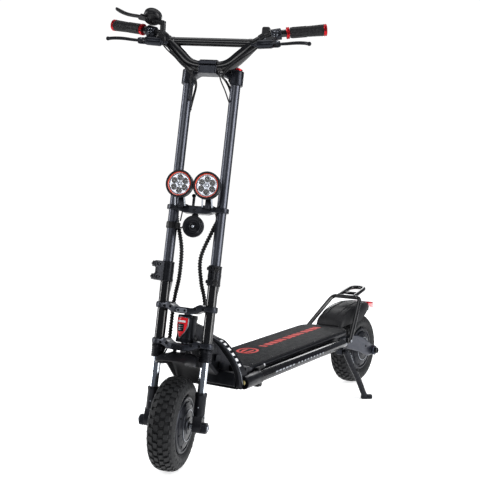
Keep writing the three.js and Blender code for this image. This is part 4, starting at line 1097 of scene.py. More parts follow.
def blade_shape(stations):
    """A lever blade as a loft of rounded sections. A station is the distance from the pivot,
    the offset across the blade, half its width, and half its thickness as a share."""
    rings = []
    for s, offset, half, share in smooth_path(stations, 5):
        thick = share * BLADE_THICKNESS
        outline = rounded(offset - half, -thick, offset + half, thick, min(half, thick) * 0.85, 3)
        rings.append([(s, u, v) for u, v in outline])
    return loft(rings)


for name, side in SIDES:
    grip_frame = lever_frame(
        (side * 212, STEM_Y - 90, 1132), (side * 306, STEM_Y - 104, 1134), (side * 306, STEM_Y - 25, 1197),
    )
    place = FORK @ grip_frame
    cylinder = along(lathe([
        (0, 0), (4, 0), (4.6, 1), (4.6, 14), (8, 15), (8, 19), (12.4, 21), (13, 23), (13, 64), (11.6, 67),
        (10.6, 71), (0, 72),
    ], 36), (-84, 4, 0), (1, 0, 0))
    ear_outline = [(-20, -8), (0, -9), (7, -5.5), (9, 0), (7, 5.5), (0, 9), (-20, 12)]
    ears = [slab(ear_outline, *sorted((h * 3.5, h * 7.5))) for h in (1, -1)]
    reservoir = loft([
        [(x, y, z) for x, y in rounded(-49 + i, 6 + i, -12 - i, 35 - i, 6 - i)]
        for i, z in ((2.5, -9), (0, -6), (0, 9), (1, 10.6))
    ])
    lid = slab(rounded(-47, 8, -14, 33, 5), 10.4, 13)
    piece(
        f"brake_master_{name}", "stem", place, SLATE, cylinder, *ears, reservoir,
        replaces=(f"brake_body_{name}",), bevel=0.9,
    )
    piece(f"brake_reservoir_lid_{name}", "stem", place, SATIN_BLACK, lid, bevel=0.8)
    piece(
        f"brake_screws_{name}", "stem", place, STEEL,
        *[bolt((x, y, 12.8), (0, 0, 1), 2.2, 1.4) for x, y in ((-42, 13), (-19, 28))],
        bolt((0, 0, 7.4), (0, 0, 1), 4.2, 2.2), bolt((0, 0, -7.4), (0, 0, -1), 4.2, 2.2),
    )
    arm_start = grip_frame @ Vector((-28, 30, 2))
    arm_end = Vector((side * 196, BAR_Y + 2, 1174))
    collar = bar_collar(side, (182, BAR_Y + 0.6, 1171.5), (210, BAR_Y + 4, 1178.4), 17)
    collar_screws = [bolt((side * x, BAR_Y - 14, 1174 + dz), (0, -0.9, dz * 0.05), 2.6, 2)
                     for x in (192, 201) for dz in (4, -5)]
    on_stem(f"brake_perch_{name}", SLATE, rod(arm_start, arm_end, 11), collar, bevel=0.4)
    on_stem(f"brake_perch_screws_{name}", STEEL, *collar_screws)
    stations = [
        (-4, 0, 6.5, 1.0), (12, 0, 6.4, 1.05), (28, 0.5, 5.6, 1.3), (48, 2.8, 5.2, 1.5),
        (66, 2.2, 5.2, 1.55), (82, -1.5, 5.2, 1.55), (93, -6.5, 5.2, 1.6), (98, -9, 5.0, 1.6),
    ]
    half_turn = [math.pi * i / 12 for i in range(13)]
    ball = lathe([(BALL_RADIUS * math.sin(a), -BALL_RADIUS * math.cos(a)) for a in half_turn], 24)
    piece(
        f"brake_blade_{name}", f"lever_{name}", place, SATIN_BLACK, blade_shape(stations),
        moved(ball, 98.6, -9.2, 0), rod((0, 0, -3.2), (0, 0, 3.2), 7.8),
        replaces=(f"brake_lever_{name}",), bevel=0.3,
    )

# The display with its throttle, on the right of the bar.
DISPLAY = (-196, STEM_Y - 56, 1217)
display_tilt = Matrix.Translation(DISPLAY) @ Matrix.Rotation(math.radians(-28), 4, "X")
puck = lathe([
    (0, -12), (21, -12), (24.5, -10.5), (27, -7.5), (28.5, -4), (28.5, 5), (28.1, 6), (28.5, 7), (28.5, 10),
    (27.6, 11.4), (26.4, 12), (24.6, 12), (24.2, 11.2), (0, 11.2),
], 64)
puck_frame = FORK @ display_tilt
piece("display_case", "stem", puck_frame, PLASTIC, puck, replaces=("display",))
piece(
    "display_screen", "stem", puck_frame, SCREEN,
    lathe([(0, 11.3), (23.8, 11.3), (23.8, 11.8), (22, 12.2), (0, 12.4)], 64),
)
# Each mark on the screen is its left end, its foot and its height.
SCREEN_MARKS = ((-13, -4, 8), (-9, -4, 8), (-2, -4, 8), (2, -4, 8), (9, -2, 4), (-6, 9, 2.2), (0, 9, 2.2),
                (6, 9, 2.2))
bars = [slab(rounded(x, y, x + 2.2, y + h, 0.8, 2), 12.2, 12.55) for x, y, h in SCREEN_MARKS]
piece("display_marks", "stem", puck_frame, WHITE_PAINT, *bars)
mounts = [
    bar_collar(-1, (146, BAR_Y - 1.6, 1152), (161, BAR_Y - 1, 1162.5), 16.8),
    rod((-159, BAR_Y, 1164), (-161, BAR_Y - 2, 1206), 9),
    rod((-159, BAR_Y - 2, 1200), (-194, STEM_Y - 54, 1209), 8.5),
    rod((-215, STEM_Y - 71, 1209), (-204, STEM_Y - 62, 1214), 7),
]
on_stem("display_mount", PLASTIC, *mounts, bevel=0.6)
throttle_frame = lever_frame(
    (-226, STEM_Y - 74, 1211), (-300, STEM_Y - 66, 1228), (-300, STEM_Y - 26, 1198),
)
throttle_place = FORK @ throttle_frame
lugs = [slab(rounded(-20, -6.5, 6.5, 6.5, 5), *sorted((h * 3.4, h * 8))) for h in (1, -1)]
piece(
    "throttle_lugs", "stem", throttle_place, PLASTIC, *lugs, rod((0, 0, -8.4), (0, 0, 8.4), 2.4),
    bevel=0.8,
)
trigger_stations = [
    (-4, 0, 5.4, 1.0), (14, 0.4, 5.6, 1.1), (32, 1.8, 5.4, 1.4), (52, 1.6, 5.6, 1.6), (70, -2, 6.0, 1.8),
    (84, -7, 5.6, 1.6), (89, -9, 4.4, 1.2),
]
piece(
    "throttle_blade", "throttle", throttle_place, PLASTIC, blade_shape(trigger_stations),
    rod((0, 0, -3.1), (0, 0, 3.1), 6.4), replaces=("throttle_trigger",), bevel=0.3,
)

# The key switch, a smaller round housing inboard of the display.
key_frame = FORK @ Matrix.Translation((-150, BAR_Y - 22, 1146)) @ Matrix.Rotation(math.radians(-62), 4, "X")
key_puck = lathe([
    (0, -16), (13, -16), (16, -13), (16, -2), (20.5, 0), (21, 2),
    (21, 9), (19.6, 11), (17.6, 11), (17, 9.6), (0, 9.6),
], 48)
piece("key_switch_case", "stem", key_frame, PLASTIC, key_puck)
piece(
    "key_switch_barrel", "stem", key_frame, STEEL,
    lathe([(0, 10.6), (1.2, 10.6), (1.2, 11.4), (6, 11.4), (6.6, 10.6), (6.6, 9.4), (0, 9.4)], 32),
)
on_stem(
    "key_switch_mount", PLASTIC,
    bar_collar(-1, (131, BAR_Y - 2, 1139.5), (143, BAR_Y - 1.6, 1150), 17.2),
    rod((-146, BAR_Y - 6, 1148), (-150, BAR_Y - 22, 1147), 8),
)

# The switch pod on the left of the bar and its horn button.
BUTTON = (165, BAR_Y + 15, 1186)
pod = loft([
    [(x, y, z) for x, z in rounded(153 + i, 1168 + i, 177 - i, 1194 - i, 5)]
    for i, y in ((1.5, BAR_Y - 11), (0, BAR_Y - 9), (0, BAR_Y + 12), (1.2, BAR_Y + 14.6))
])
toggle = loft([
    [(x, y, z) for x, z in rounded(158, 1171, 172, 1177, 2)] for y in (BAR_Y + 12, BAR_Y + 17)
])
on_stem(
    "switch_pod_case", PLASTIC, pod,
    bar_collar(1, (150, BAR_Y - 1.4, 1154), (165, BAR_Y - 0.8, 1164.5), 16.4), replaces=("switch_pod",),
    bevel=0.6,
)
on_stem("switch_pod_toggle", RUBBER, toggle, bevel=0.8)
button_cap = axis_y(lathe([(0, -2.6), (5, -2.6), (5, 2), (4.2, 3), (0, 3.4)], 32))
piece(
    "horn_button_cap", "horn_button", FORK, RED_PAINT, moved(button_cap, *BUTTON),
    replaces=("horn_button",),
)

# ---------------------------------------------------------------- cables
WRAP_PITCH = 8.5
STEM_TO_FORK = (520, 380)
FORK_TO_LOWERS = (215, 100)
WRAP_RIDGE = 1.3
WRAP_RADIUS = 5.8
OPEN_CABLE_RADIUS = 2.1


def spiral_ripple(distance, angle):
    """The ridge of a spiral wrap: it rises and falls once per turn."""
    return WRAP_RIDGE * math.cos(angle - 2 * math.pi * distance / WRAP_PITCH)


def resampled(points, spacing):
    """Points at an even distance along the smooth path."""
    dense = [Vector(p) for p in smooth_path(points, 24)]
    picked, left = [dense[0]], spacing
    for a, b in zip(dense, dense[1:]):
        length = (b - a).length
        while left < length:
            picked.append(a.lerp(b, left / length))
            left += spacing
        left -= length
    return [tuple(p) for p in picked]


def wrapped_cable(points):
    even = resampled(points, 1.7)
    return tube(even, WRAP_RADIUS, sides=14, steps=1, ripple=spiral_ripple)


# Above this stretch the bundles open into single cables that run under the bar.
OPEN_CABLES = [
    (150, -80, 1146), (126, -95, 1117), (92, -99, 1087), (62, -97, 1060), (45, -82, 1041),
    (46, -46, 1038), (52, -14, 1024), (64, 4, 985), (70, 6, 950),
]
RIGHT_BUNDLE = [
    (-76, 5, 972), (-81, 6, 930), (-81, 6, 850), (-80, 6, 700), (-76, 5, 640), (-66, -8, 604),
    (-50, -22, 570), (-36, -26, 515), (-38, -14, 440), (-50, 5, 385), (-54, 9.5, 346),
    (-54, 9.5, 262), (-54, 9.5, 228),
]
LEFT_BUNDLE = [
    (70, 5, 972), (70, 6, 930), (69, 6, 850), (68, 6, 700), (62, 4, 630), (52, -18, 585), (26, -24, 500),
    (32, -14, 430), (40, 8, 385), (46, 22, 346), (50, 32, 330),
]
HUB_CABLE = [
    (-54, 9.5, 226), (-61, 7, 208), (-71, 3, 180), (-75, 0, 130), (-75, 0, 60), (-66, 2, 26), (-55, -8, 4),
]


def bent_piece(name, shape, material, bodies, from_z, to_z, replaces):
    """A cable that crosses a joint, drawn in the fork frame and baked to the row frame at its drawn pose;
    it hangs on no body. The bodies and the two heights are not used."""
    made = piece(name, None, FORK, material, shape, slot="rubber", sharp=60)
    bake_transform(made)
    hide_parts(*replaces)


for name, route in (("right", RIGHT_BUNDLE), ("left", LEFT_BUNDLE)):
    bent_piece(
        f"cable_wrap_{name}", wrapped_cable(route), RUBBER, ("stem", "fork"), *STEM_TO_FORK,
        (f"cable_{name}",),
    )
hub_pair = []
for shift in (0, -5.4):
    lead = [(x + shift, y + shift * 0.6, z) for x, y, z in HUB_CABLE]
    hub_pair.append(tube(lead, 2.4, sides=12, steps=8))
bent_piece(
    "hub_cables", joined(*hub_pair), RUBBER, ("fork", "fork_lowers"), *FORK_TO_LOWERS, ("hub_cable",),
)

# Thin cables: brake hoses and switch leads to the bundles, loops under the yoke, lamp leads.
thin_paths = []
for _, side in SIDES:
    for spread in (1.0, 1.08):
        thin_paths.append([(side * px * spread, py + 30 * (spread - 1), pz) for px, py, pz in OPEN_CABLES])
    thin_paths.append([(side * 40, BAR_Y - 24, 1058), (side * 46, BAR_Y - 20, 1028), (side * 54, -62, 1004),
                       (side * 62, -42, 980), (side * 65, -16, 966), (side * 66, 2, 956)])
for lamp_x, end_x in ((-42, -60), (42, 58)):
    side = math.copysign(1, lamp_x)
    thin_paths.append([
        (lamp_x, LIGHT[1] + 36, 690), (side * 40, STEM_Y - 30, 668), (side * 52, STEM_Y + 12, 640),
        (end_x, 2, 608),
    ])
thin_paths.append([(0, HORN[1] + 30, HORN[2]), (-20, HORN[1] + 40, 584), (-40, -18, 590), (-50, -14, 584)])
on_stem(
    "thin_cables", RUBBER, *[tube(path, OPEN_CABLE_RADIUS, sides=10, steps=8) for path in thin_paths],
    sharp=60,
)
ties = []
for _, side in SIDES:
    for z in (960, 800):
        ties.append(moved(lathe([(6.4, z - 2), (7.4, z - 2), (7.4, z + 2), (6.4, z + 2)], 24, closed=True),
                          -81 if side < 0 else 69, 6, 0))
on_stem("cable_ties", PLASTIC, *ties)

# ---------------------------------------------------------------- head tube and neck
head_profile = [
    (27, HEAD_TUBE_BOTTOM), (30, HEAD_TUBE_BOTTOM + 1), (30, 252), (29, 253.5), (28.6, 256), (28.6, 309),
    (29, 311), (30, 312.5), (30, HEAD_TUBE_TOP - 1), (27, HEAD_TUBE_TOP),
    (24.3, HEAD_TUBE_TOP), (24.3, HEAD_TUBE_BOTTOM),
]
on_head("head_tube_shell", DARK_SLATE, lathe(head_profile, 56, closed=True), replaces=("head_tube",))


def badge_outline(grow):
    points = [(-21, 317), (0, 319), (21, 317), (21, 292), (15, 271), (0, 253), (-15, 271), (-21, 292)]
    centre = 288
    return [(x * grow, centre + (z - centre) * grow) for x, z in points]


def badge_plate(outline, front, thickness, steps=10):
    """A plate bent round the head tube: columns of points across the outline."""
    xs = sorted({x for x, _ in outline})
    low, high = xs[0], xs[-1]
    bottoms = sorted({x: min(z for u, z in outline if u == x) for x in xs}.items())
    tops = sorted((x, z) for x, z in outline if z > 300)
    rings = []
    for i in range(steps + 1):
        x = low + (high - low) * i / steps
        z0, z1 = between(bottoms, x), between(tops, x)
        y0 = -math.sqrt((front + thickness) ** 2 - x * x)
        y1 = -math.sqrt(front**2 - x * x)
        rings.append([(x, y0, z0), (x, y0, z1), (x, y1, z1), (x, y1, z0)])
    return loft(rings)


on_head("badge_border", STEEL, badge_plate(badge_outline(1.0), 29, 2.2), bevel=0.4)
on_head(
    "badge_field", RED_PAINT, badge_plate(badge_outline(0.92), 29, 3.0), replaces=("head_badge",),
    bevel=0.5,
)

def badge_patch(x0, x1, z0, z1, lift, steps=6):
    rings = []
    for i in range(steps + 1):
        x = x0 + (x1 - x0) * i / steps
        y0, y1 = -math.sqrt((32 + lift) ** 2 - x * x), -math.sqrt(31**2 - x * x)
        rings.append([(x, y0, z0), (x, y0, z1), (x, y1, z1), (x, y1, z0)])
    return loft(rings)


on_head("badge_band", WHITE_PAINT, badge_patch(-14, 14, 301, 307, 0.5))
on_head("badge_centre", SATIN_BLACK, badge_patch(-11, 11, 274, 297, 0.5), bevel=0.6)
on_head(
    "badge_lines", STEEL, badge_patch(-8, 8, 290, 292, 0.9), badge_patch(-8, 8, 284, 286, 0.9),
    badge_patch(-5, 5, 278, 280, 0.9),
)


def facet_ring(half, reach, corner):
    """A rectangle with cut corners."""
    return [
        (-half + corner, -reach), (half - corner, -reach), (half, -reach + corner), (half, reach - corner),
        (half - corner, reach), (-half + corner, reach), (-half, reach - corner), (-half, -reach + corner),
    ]


def neck_core():
    stations = [
        (24, 100, 432, 87, 383), (27, 130, 418, 111, 377), (30, 168, 398, 142, 312),
        (35, 200, 364, 172, 270), (42, 228, 324, 204, 236), (50, 256, 282, 232, 212),
    ]
    rings = []
    for half, y0, z0, y1, z1 in smooth_path(stations, 4):
        up = Vector((0, y0 - y1, z0 - z1))
        reach = up.length / 2
        up.normalize()
        middle = Vector((0, (y0 + y1) / 2, (z0 + z1) / 2))
        rings.append([middle + X_AXIS * u + up * v for u, v in facet_ring(half, reach, 7)])
    return loft(rings)


BEAM = [
    (34, 155, 384, 17, 22), (49, 160, 374, 20, 32), (62, 174, 361, 23, 36), (80, 188, 331, 26, 34),
    (98, 200, 297, 25, 36), (108, 211, 262, 22, 42), (110, 221, 228, 21, 54), (110, 224, 212, 20, 50),
]


def neck_beam(side):
    rings = []
    for x, y, z, width, depth in smooth_path(BEAM, 5):
        rings.append([(side * x + u, y + v, z) for u, v in facet_ring(width / 2, depth / 2, 4)])
    return loft(rings)


cross_panel = plate_yz([(190, 222), (193, 262), (206, 264), (206, 214)], -100, 100)
base_plate = plate_yz(rounded(238, 212, 262, 272, 4), -112, 112)
bottom_plate = slab(rounded(-106, 198, 106, 250, 6), 210, 217)
on_chassis(
    "neck_core_casting", SATIN_BLACK, neck_core(), base_plate, bottom_plate, replaces=("neck",),
    bevel=1.2, sharp=24,
)
on_chassis("neck_lower_panel", DARK_SLATE, cross_panel, slot="slate_paint", bevel=1.6)
for name, side in SIDES:
    on_chassis(
        f"neck_beam_{name}", SATIN_BLACK, neck_beam(side), slot="slate_paint", bevel=1.0, sharp=20,
    )
    # A thin steel line along each beam's outer face: a painted highlight on the black beam.
    painted_highlight_path = []
    for x, y, z, width, depth in BEAM[1:-1]:
        painted_highlight_path.append((side * (x + width / 2 + 0.3), y - depth * 0.28, z, 0.9))
    on_chassis(f"neck_beam_line_{name}", STEEL, tube(painted_highlight_path, sides=8, steps=5))
    beam_face = [(x + width / 2, y, z) for x, y, z, width, _ in smooth_path(BEAM, 8)]
    dashes_on_beam = []
    for k in range(6):
        rings = []
        for face, y, z in beam_face[13 + 4 * k:16 + 4 * k]:
            low_x, high_x = side * (face - 0.8), side * (face + 0.7)
            rings.append([(low_x, y - 7, z), (low_x, y + 4, z), (high_x, y + 4, z), (high_x, y - 7, z)])
        dashes_on_beam.append(loft(rings))
    on_chassis(f"neck_beam_dashes_{name}", WHITE_PAINT, *dashes_on_beam)
    cap_rings = []
    for grow, x in ((1.0, 33), (1.0, 36.5), (0.86, 37.6), (0.5, 37.8), (0.44, 36.6)):
        oval = [(side * x, 139 + 9 * grow * math.cos(a), 367 + 12 * grow * math.sin(a))
                for a in (2 * math.pi * k / 28 for k in range(28))]
        cap_rings.append(oval)
    on_chassis(f"neck_bolt_cap_{name}", STEEL, loft(cap_rings))
    recess_plates = []
    for k in range(3):
        z = 330 - 26 * k
        y = 176 + 13 * k
        recess_plates.append(plate_yz([(y - 14, z - 9), (y + 12, z - 12), (y + 14, z + 9), (y - 8, z + 12)],
                                      *sorted((side * (33 + 3.5 * k), side * (37.5 + 3.5 * k)))))
    on_chassis(f"neck_inner_ribs_{name}", DARK_SLATE, *recess_plates, slot="slate_paint", bevel=1.2)

# ---------------------------------------------------------------- deck
def deck_rail(side):
    body = lathe([(0, 288), (17.4, 288), (17.8, 289), (17.8, 862), (16.6, 866), (0, 866)], 48)
    socket = lathe([
        (0, 216), (15.6, 216), (16.2, 211), (19.6, 210), (21, 211.5), (21, 298), (19.4, 300), (0, 300),
    ], 48)
    return [moved(axis_y(shape), side * RAIL_X, 0, RAIL_Z) for shape in (body, socket)]


for name, side in SIDES:
    body, socket = deck_rail(side)
    on_chassis(f"side_rail_tube_{name}", GLOSS_BLACK, body, replaces=(f"side_rail_{name}",), sharp=40)
    on_chassis(f"side_rail_socket_{name}", SATIN_BLACK, socket, sharp=40)
    lens = lathe([(0, 212.4), (6, 212.8), (8, 214.4), (8, 217), (0, 217)], 36)
    lens_ring = lathe([(8, 212), (13.6, 211.4), (14.6, 213), (14.6, 217), (8, 217)], 36, closed=True)
    on_chassis(f"rail_lamp_lens_{name}", AMBER_LENS, moved(axis_y(lens), side * RAIL_X, 0, RAIL_Z))
    on_chassis(
        f"rail_lamp_ring_{name}", BLACK_STEEL, moved(axis_y(lens_ring), side * RAIL_X, 0, RAIL_Z),
        slot="lamp_silver",
    )
    rail_pads = [block(side * (RAIL_X - 19), y, RAIL_Z, 8, 30, 14) for y in (330, 580, 830)]
    end_profile = [(0, 865), (16, 865), (16.6, 867), (14, 872), (6, 873), (5, 870), (0, 870)]
    end_cap = moved(axis_y(lathe(end_profile, 40)), side * RAIL_X, 0, RAIL_Z)
    on_chassis(f"side_rail_pads_{name}", PLASTIC, *rail_pads, end_cap, bevel=1.0)
    rail_print = []
    for k in range(15):
        start, length = (372 + 21 * k, 14) if k < 6 else (388 + 21 * k, 9)
        dash = [
            (start, RAIL_Z), (start + length, RAIL_Z), (start + length + 2, RAIL_Z + 4.5),
            (start + 2, RAIL_Z + 4.5),
        ]
        rail_print.append(plate_yz(dash, *sorted((side * (RAIL_X + 16.4), side * (RAIL_X + 18)))))
    on_chassis(f"side_rail_print_{name}", STEEL, *rail_print, slot="lamp_silver")
    rail_line = [(side * (RAIL_X + 17.2), y, RAIL_Z - 5, 0.7) for y in (320, 480, 660, 845)]
    on_chassis(f"side_rail_line_{name}", STEEL, tube(rail_line, sides=6, steps=2))


def deck_outline(inset, steps=8):
    half = 104 - inset
    front, rear = 266 + inset, 973 - inset
    corner = 24
    outline = []
    for i in range(steps + 1):
        angle = math.radians(90 * i / steps - 90)
        x = half - corner + corner * math.cos(angle)
        y = front + corner + corner * math.sin(angle)
        outline.append((x, y))
    for i in range(steps + 1):
        t = i / steps
        x = (1 - t) ** 2 * half + 2 * t * (1 - t) * (half - 4) + t**2 * (half - 44)
        y = (1 - t) ** 2 * 915 + 2 * t * (1 - t) * (rear - 6) + t**2 * rear
        outline.append((x, y))
    return outline + [(-x, y) for x, y in reversed(outline)]


def deck_layer(levels):
    """A plate in the deck's plan from (inset, z) levels, bottom first."""
    return loft([[(x, y, z) for x, y in deck_outline(inset)] for inset, z in levels])


tray_main = loft([
    [(x, y, z) for x, y in rounded(-97.5 + i, 262.5, 97.5 - i, 880, 5)]
    for i, z in (
        (9, DECK_BOTTOM), (0, DECK_BOTTOM + 9), (0, 226), (1.6, 227.5), (1.6, 231), (0, 232.5),
        (0, DECK_RIM),
    )
])
tray_rear = slab(rounded(-78, 868, 78, 985, 6), DECK_BOTTOM, DECK_RIM)
cheek_outline = [(868, 196), (872, DECK_RIM), (946, DECK_RIM), (960, 225), (958, 196)]
cheeks = [plate_yz(cheek_outline, *sorted((side * 92, side * 97.5))) for _, side in SIDES]
on_chassis(
    "deck_tray_shell", SATIN_BLACK, tray_main, tray_rear, *cheeks, replaces=("deck_tray",), bevel=1.0,
)
x, y, z = KICKSTAND_PIVOT
on_chassis(
    "kickstand_bracket", SLATE, plate_yz(rounded(y - 13, z - 11, y + 13, z + 16, 6), 95, x - 10),
    rod((x - 11, y, z), (x + 9, y, z), 4), bolt((x + 8.6, y, z), (1, 0, 0), 7, 3), slot="steel",
    bevel=0.8,
)
on_chassis(
    "deck_cover_plate", SATIN_BLACK,
    deck_layer([(1.5, DECK_RIM), (0, DECK_RIM + 1.5), (0, COVER_TOP - 2), (1.2, COVER_TOP)]),
    replaces=("deck_cover",), sharp=50,
)
on_chassis(
    "deck_mat_sheet", MAT, deck_layer([(4, COVER_TOP), (4, MAT_TOP - 1), (5, MAT_TOP)]),
    replaces=("deck_mat",), sharp=50,
)
deck_screws = []
for _, side in SIDES:
    for y in (300, 420, 560, 700, 840, 930):
        deck_screws.append(bolt((side * 92, y, MAT_TOP - 0.6), (0, 0, 1), 4, 1.6))
    for y in (345, 480, 620, 760):
        deck_screws.append(bolt((side * 97.3, y, 240), (side, 0, 0), 3, 1.6))
on_chassis("deck_screws", BLACK_STEEL, *deck_screws)

# The mat's print: a plain ring with two bars in it, and a row of slanted dashes.
PRINT_LEVELS = ((1.0, -0.2), (1.0, 0.35), (0.78, 0.35), (0.78, -0.2))
emblem_rings = []
for k in range(40):
    angle = 2 * math.pi * k / 40
    reach = 1.0 + 0.14 * math.cos(2 * angle)
    u, v = 33 * reach * math.cos(angle), 46 * reach * math.sin(angle)
    emblem_rings.append([
        (-25 + u * share, 450 + v * share, MAT_TOP + lift) for share, lift in PRINT_LEVELS
    ])
dashes = [loft(emblem_rings, looped=True)]
for bend in (-1, 1):
    vein = [(-25 + bend * 3, 416), (-25 + bend * 9, 416), (-25 + bend * 20, 452), (-25 + bend * 11, 474)]
    dashes.append(slab(vein, MAT_TOP - 0.2, MAT_TOP + 0.35))
for k in range(13):
    y = 528 + 31.5 * k
    length = 22 if k % 4 else 14
    dashes.append(slab([(-32, y), (-4, y + 6), (-4, y + 6 + length), (-32, y + length)],
                       MAT_TOP - 0.2, MAT_TOP + 0.35))
on_chassis("deck_mat_print", PRINT_RED, *dashes)

charge_port = [
    block(110, 299, 208, 24, 17, 18, 3),
    moved(axis_x(lathe([(0, 0), (8, 0), (8.6, 1), (8.6, 5), (7.4, 6), (0, 6)], 32)), 121, 299, 208),
]
on_chassis("charge_port_cap", PLASTIC, *charge_port, bevel=1.0)
latch = [block(107, 322, 253, 14, 46, 12, 3), rod((112, 306, 254), (119, 306, 254), 5.5, 28, 1)]
on_chassis("deck_side_latch", PLASTIC, *latch, bevel=1.0)
on_chassis("deck_side_mark", WHITE_PAINT, block(105, 353, 256, 5, 6, 9, 1))

# ---------------------------------------------------------------- grab bar, mudguard, tail light
HOOP_HALF = [
    (106.3, 948, 222, 8), (106.3, 958, 229, 8), (101, 980, 246, 8), (85, 1042, 293, 8), (68, 1104, 340, 8),
    (62, 1121, 353, 8), (52, 1129, 359, 8), (34, 1130, 360, 8),
]
RACK_HALF = [
    (34, 1128, 361, 8), (34, 1150, 367, 8), (32, 1205, 377, 8), (28, 1228, 381, 8), (14, 1240, 383, 8),
]


def mirrored_path(half):
    return half + [(-x, y, z, r) for x, y, z, r in reversed(half)]


grab_feet = [rod((side * 97.8, 950, 224), (side * 108, 950, 224), 11, 32, 2) for _, side in SIDES]
on_chassis(
    "grab_bar_tubes", GLOSS_BLACK, tube(mirrored_path(HOOP_HALF), sides=24, steps=6),
    tube(mirrored_path(RACK_HALF), sides=24, steps=6), rod((-33, 1166, 370), (33, 1166, 370), 6.5),
    *grab_feet, replaces=("grab_bar",), sharp=50,
)
on_chassis(
    "grab_bar_screws", STEEL, *[bolt((side * 114, 950, 224), (side, 0, 0), 5, 3) for _, side in SIDES],
)


def rear_fender():
    stations = [
        (977, 270, 1, 56, 12), (992, 294, 0.75, 62, 32), (1024, 314, 0.45, 64, 50),
        (1070, 326, 0.22, 65, 62), (1120, 332, 0.06, 65, 64), (1172, 334, -0.05, 63, 50),
        (1212, 331.5, -0.12, 56, 36), (1242, 327, -0.18, 48, 34),
    ]
    rings, ridge = [], []
    for y, z, slope, width, depth in smooth_path(stations, 5):
        up = Vector((0, -slope, 1)).normalized()
        rings.append([Vector((x, y, z)) + up * v for x, v in arch_ring(width, depth, 3)])
        ridge.append((y, z, width, up))
    creases = []
    for fraction in (0.4, 0.72):
        for _, side in SIDES:
            drop = 0.35 if fraction < 0.5 else 3.2
            path = []
            for y, z, width, up in ridge[4:-3]:
                path.append((side * fraction * width, *(Vector((0, y, z)) - up * drop).yz, 1.6))
            creases.append(tube(path, sides=8, steps=1))
    foot = block(0, 979, 262, 90, 8, 22)
    on_chassis(
        "rear_fender_shell", RUBBER, loft(rings), *creases, foot, replaces=("rear_fender",),
        slot="black_plastic", sharp=50,
    )
    on_chassis(
        "rear_fender_screws", BLACK_STEEL,
        *[bolt((x, 974.6, 262), (0, -1, 0), 4, 2.4) for x in (-32, 32)],
    )


rear_fender()

# The tail light's sections from the fender back: y, top, bottom and half width.
LENS_STATIONS = (
    (1240, 326, 314, 45), (1258, 324.5, 307, 43), (1276, 322, 299, 40),
    (1306, 315.5, 289.5, 34), (1330, 307, 290.5, 25), (1341, 302, 293, 16),
)
red_rings, painted_highlight_rings = [], []
for y, top, bottom, half in LENS_STATIONS:
    corner = min(3, (top - bottom) * 0.4)
    red_rings.append([(u, y, v) for u, v in rounded(-half, bottom, half, top, corner, 3)])
    # A pale strip just in front of the lens along its top: a painted highlight.
    painted_highlight_section = rounded(-half + 9, top - 2.6, half - 9, top + 1.0, 1.2, 2)
    painted_highlight_rings.append([(u, y - 4, v) for u, v in painted_highlight_section])
on_chassis("tail_lens_red", RED_LENS, loft(red_rings), replaces=("tail_light",))
on_chassis("tail_lens_pale", PAINTED_HIGHLIGHT_LENS, loft(painted_highlight_rings))
on_chassis("tail_light_base", PLASTIC, block(0, 1238, 319, 70, 12, 8, 3), bevel=1.0)

# ---------------------------------------------------------------- rear suspension
on_swingarm(
    "rear_axle_shaft", BLACK_STEEL,
    rod((-105, WHEELBASE, TYRE_RADIUS), (108, WHEELBASE, TYRE_RADIUS), 8),
    *[bolt((side * 103, WHEELBASE, TYRE_RADIUS), (side, 0, 0), 12, 8) for _, side in SIDES],
    replaces=("rear_axle",),
)
ARM_OUTLINE = [
    (930, 198), (938, 222), (960, 231), (998, 238), (1050, 227), (1098, 210), (1150, 184), (1200, 154),
    (1206, 138),
    (1190, 122), (1148, 124), (1100, 142), (1067, 157), (1000, 178), (945, 196),
]


def inset_outline(outline, share):
    cy = sum(y for y, _ in outline) / len(outline)
    cz = sum(z for _, z in outline) / len(outline)
    return [(cy + (y - cy) * share, cz + (z - cz) * share) for y, z in outline]


for name, side in SIDES:
    rings = []
    for share, x in ((0.97, 82.5), (1.0, 84), (1.0, 89), (0.9, 92.8)):
        rings.append([(side * x, y, z) for y, z in inset_outline(ARM_OUTLINE, share)])
    pieces_of_arm = [
        loft(rings), rod((side * 82, *SWING_PIVOT), (side * 91.8, *SWING_PIVOT), 17, 40, 1.5),
        rod((side * 80, WHEELBASE, TYRE_RADIUS), (side * 101, WHEELBASE, TYRE_RADIUS), 20, 8, 2),
    ]
    if side > 0:
        pieces_of_arm.append(rod((-82, 1018, 206), (82, 1018, 206), 9))
    on_swingarm(
        f"swingarm_plate_{name}", ARM_SLATE, *pieces_of_arm, replaces=(f"swingarm_{name}",), bevel=1.0,
        sharp=20,
    )
    cover = [(side * x, y, z) for x, y, z in ((92, 980, 214), (92, 1120, 170))]
    on_swingarm(
        f"swingarm_screws_{name}", BLACK_STEEL, bolt((side * 91.4, *SWING_PIVOT), (side, 0, 0), 9, 3),
        *[bolt(spot, (side, 0, 0), 4.5, 2.4) for spot in cover],
    )
corner_blocks = [
    loft([[(side * x, y, z) for y, z in rounded(884 + i, 208 + i, 930 - i, 246 - i, 5)]
          for i, x in ((0, 97), (0, 101), (5, 104.5))]) for _, side in SIDES
]
on_chassis("deck_corner_blocks", SLATE, *corner_blocks, bevel=0.8, sharp=22)

# ---------------------------------------------------------------- kickstand
x, y, z = KICKSTAND_PIVOT
LEG = [(x, y, z), (x + 9, y + 24, z - 47), (147, 942, 84), (157, 966, 28), (162, 974, 9)]
LEG_RADIUS = 11
foot_turn = Matrix.Translation((165, 980, 0)) @ Matrix.Rotation(-0.95, 4, "Z")
foot = loft([[(u, v, h) for u, v in rounded(-12 + i, -22 + i, 12 - i, 22 - i, 8 - i * 0.5)]
             for i, h in ((1.5, 0.6), (0, 2.2), (0, 12), (2.5, 15))])


def leg_knurl(distance, angle):
    """Rows of shallow dimples round the middle of the leg."""
    if not 50 < distance < 175:
        return 0
    return -2.4 * max(0, math.sin(5 * angle)) * max(0, math.sin(2 * math.pi * distance / 17))


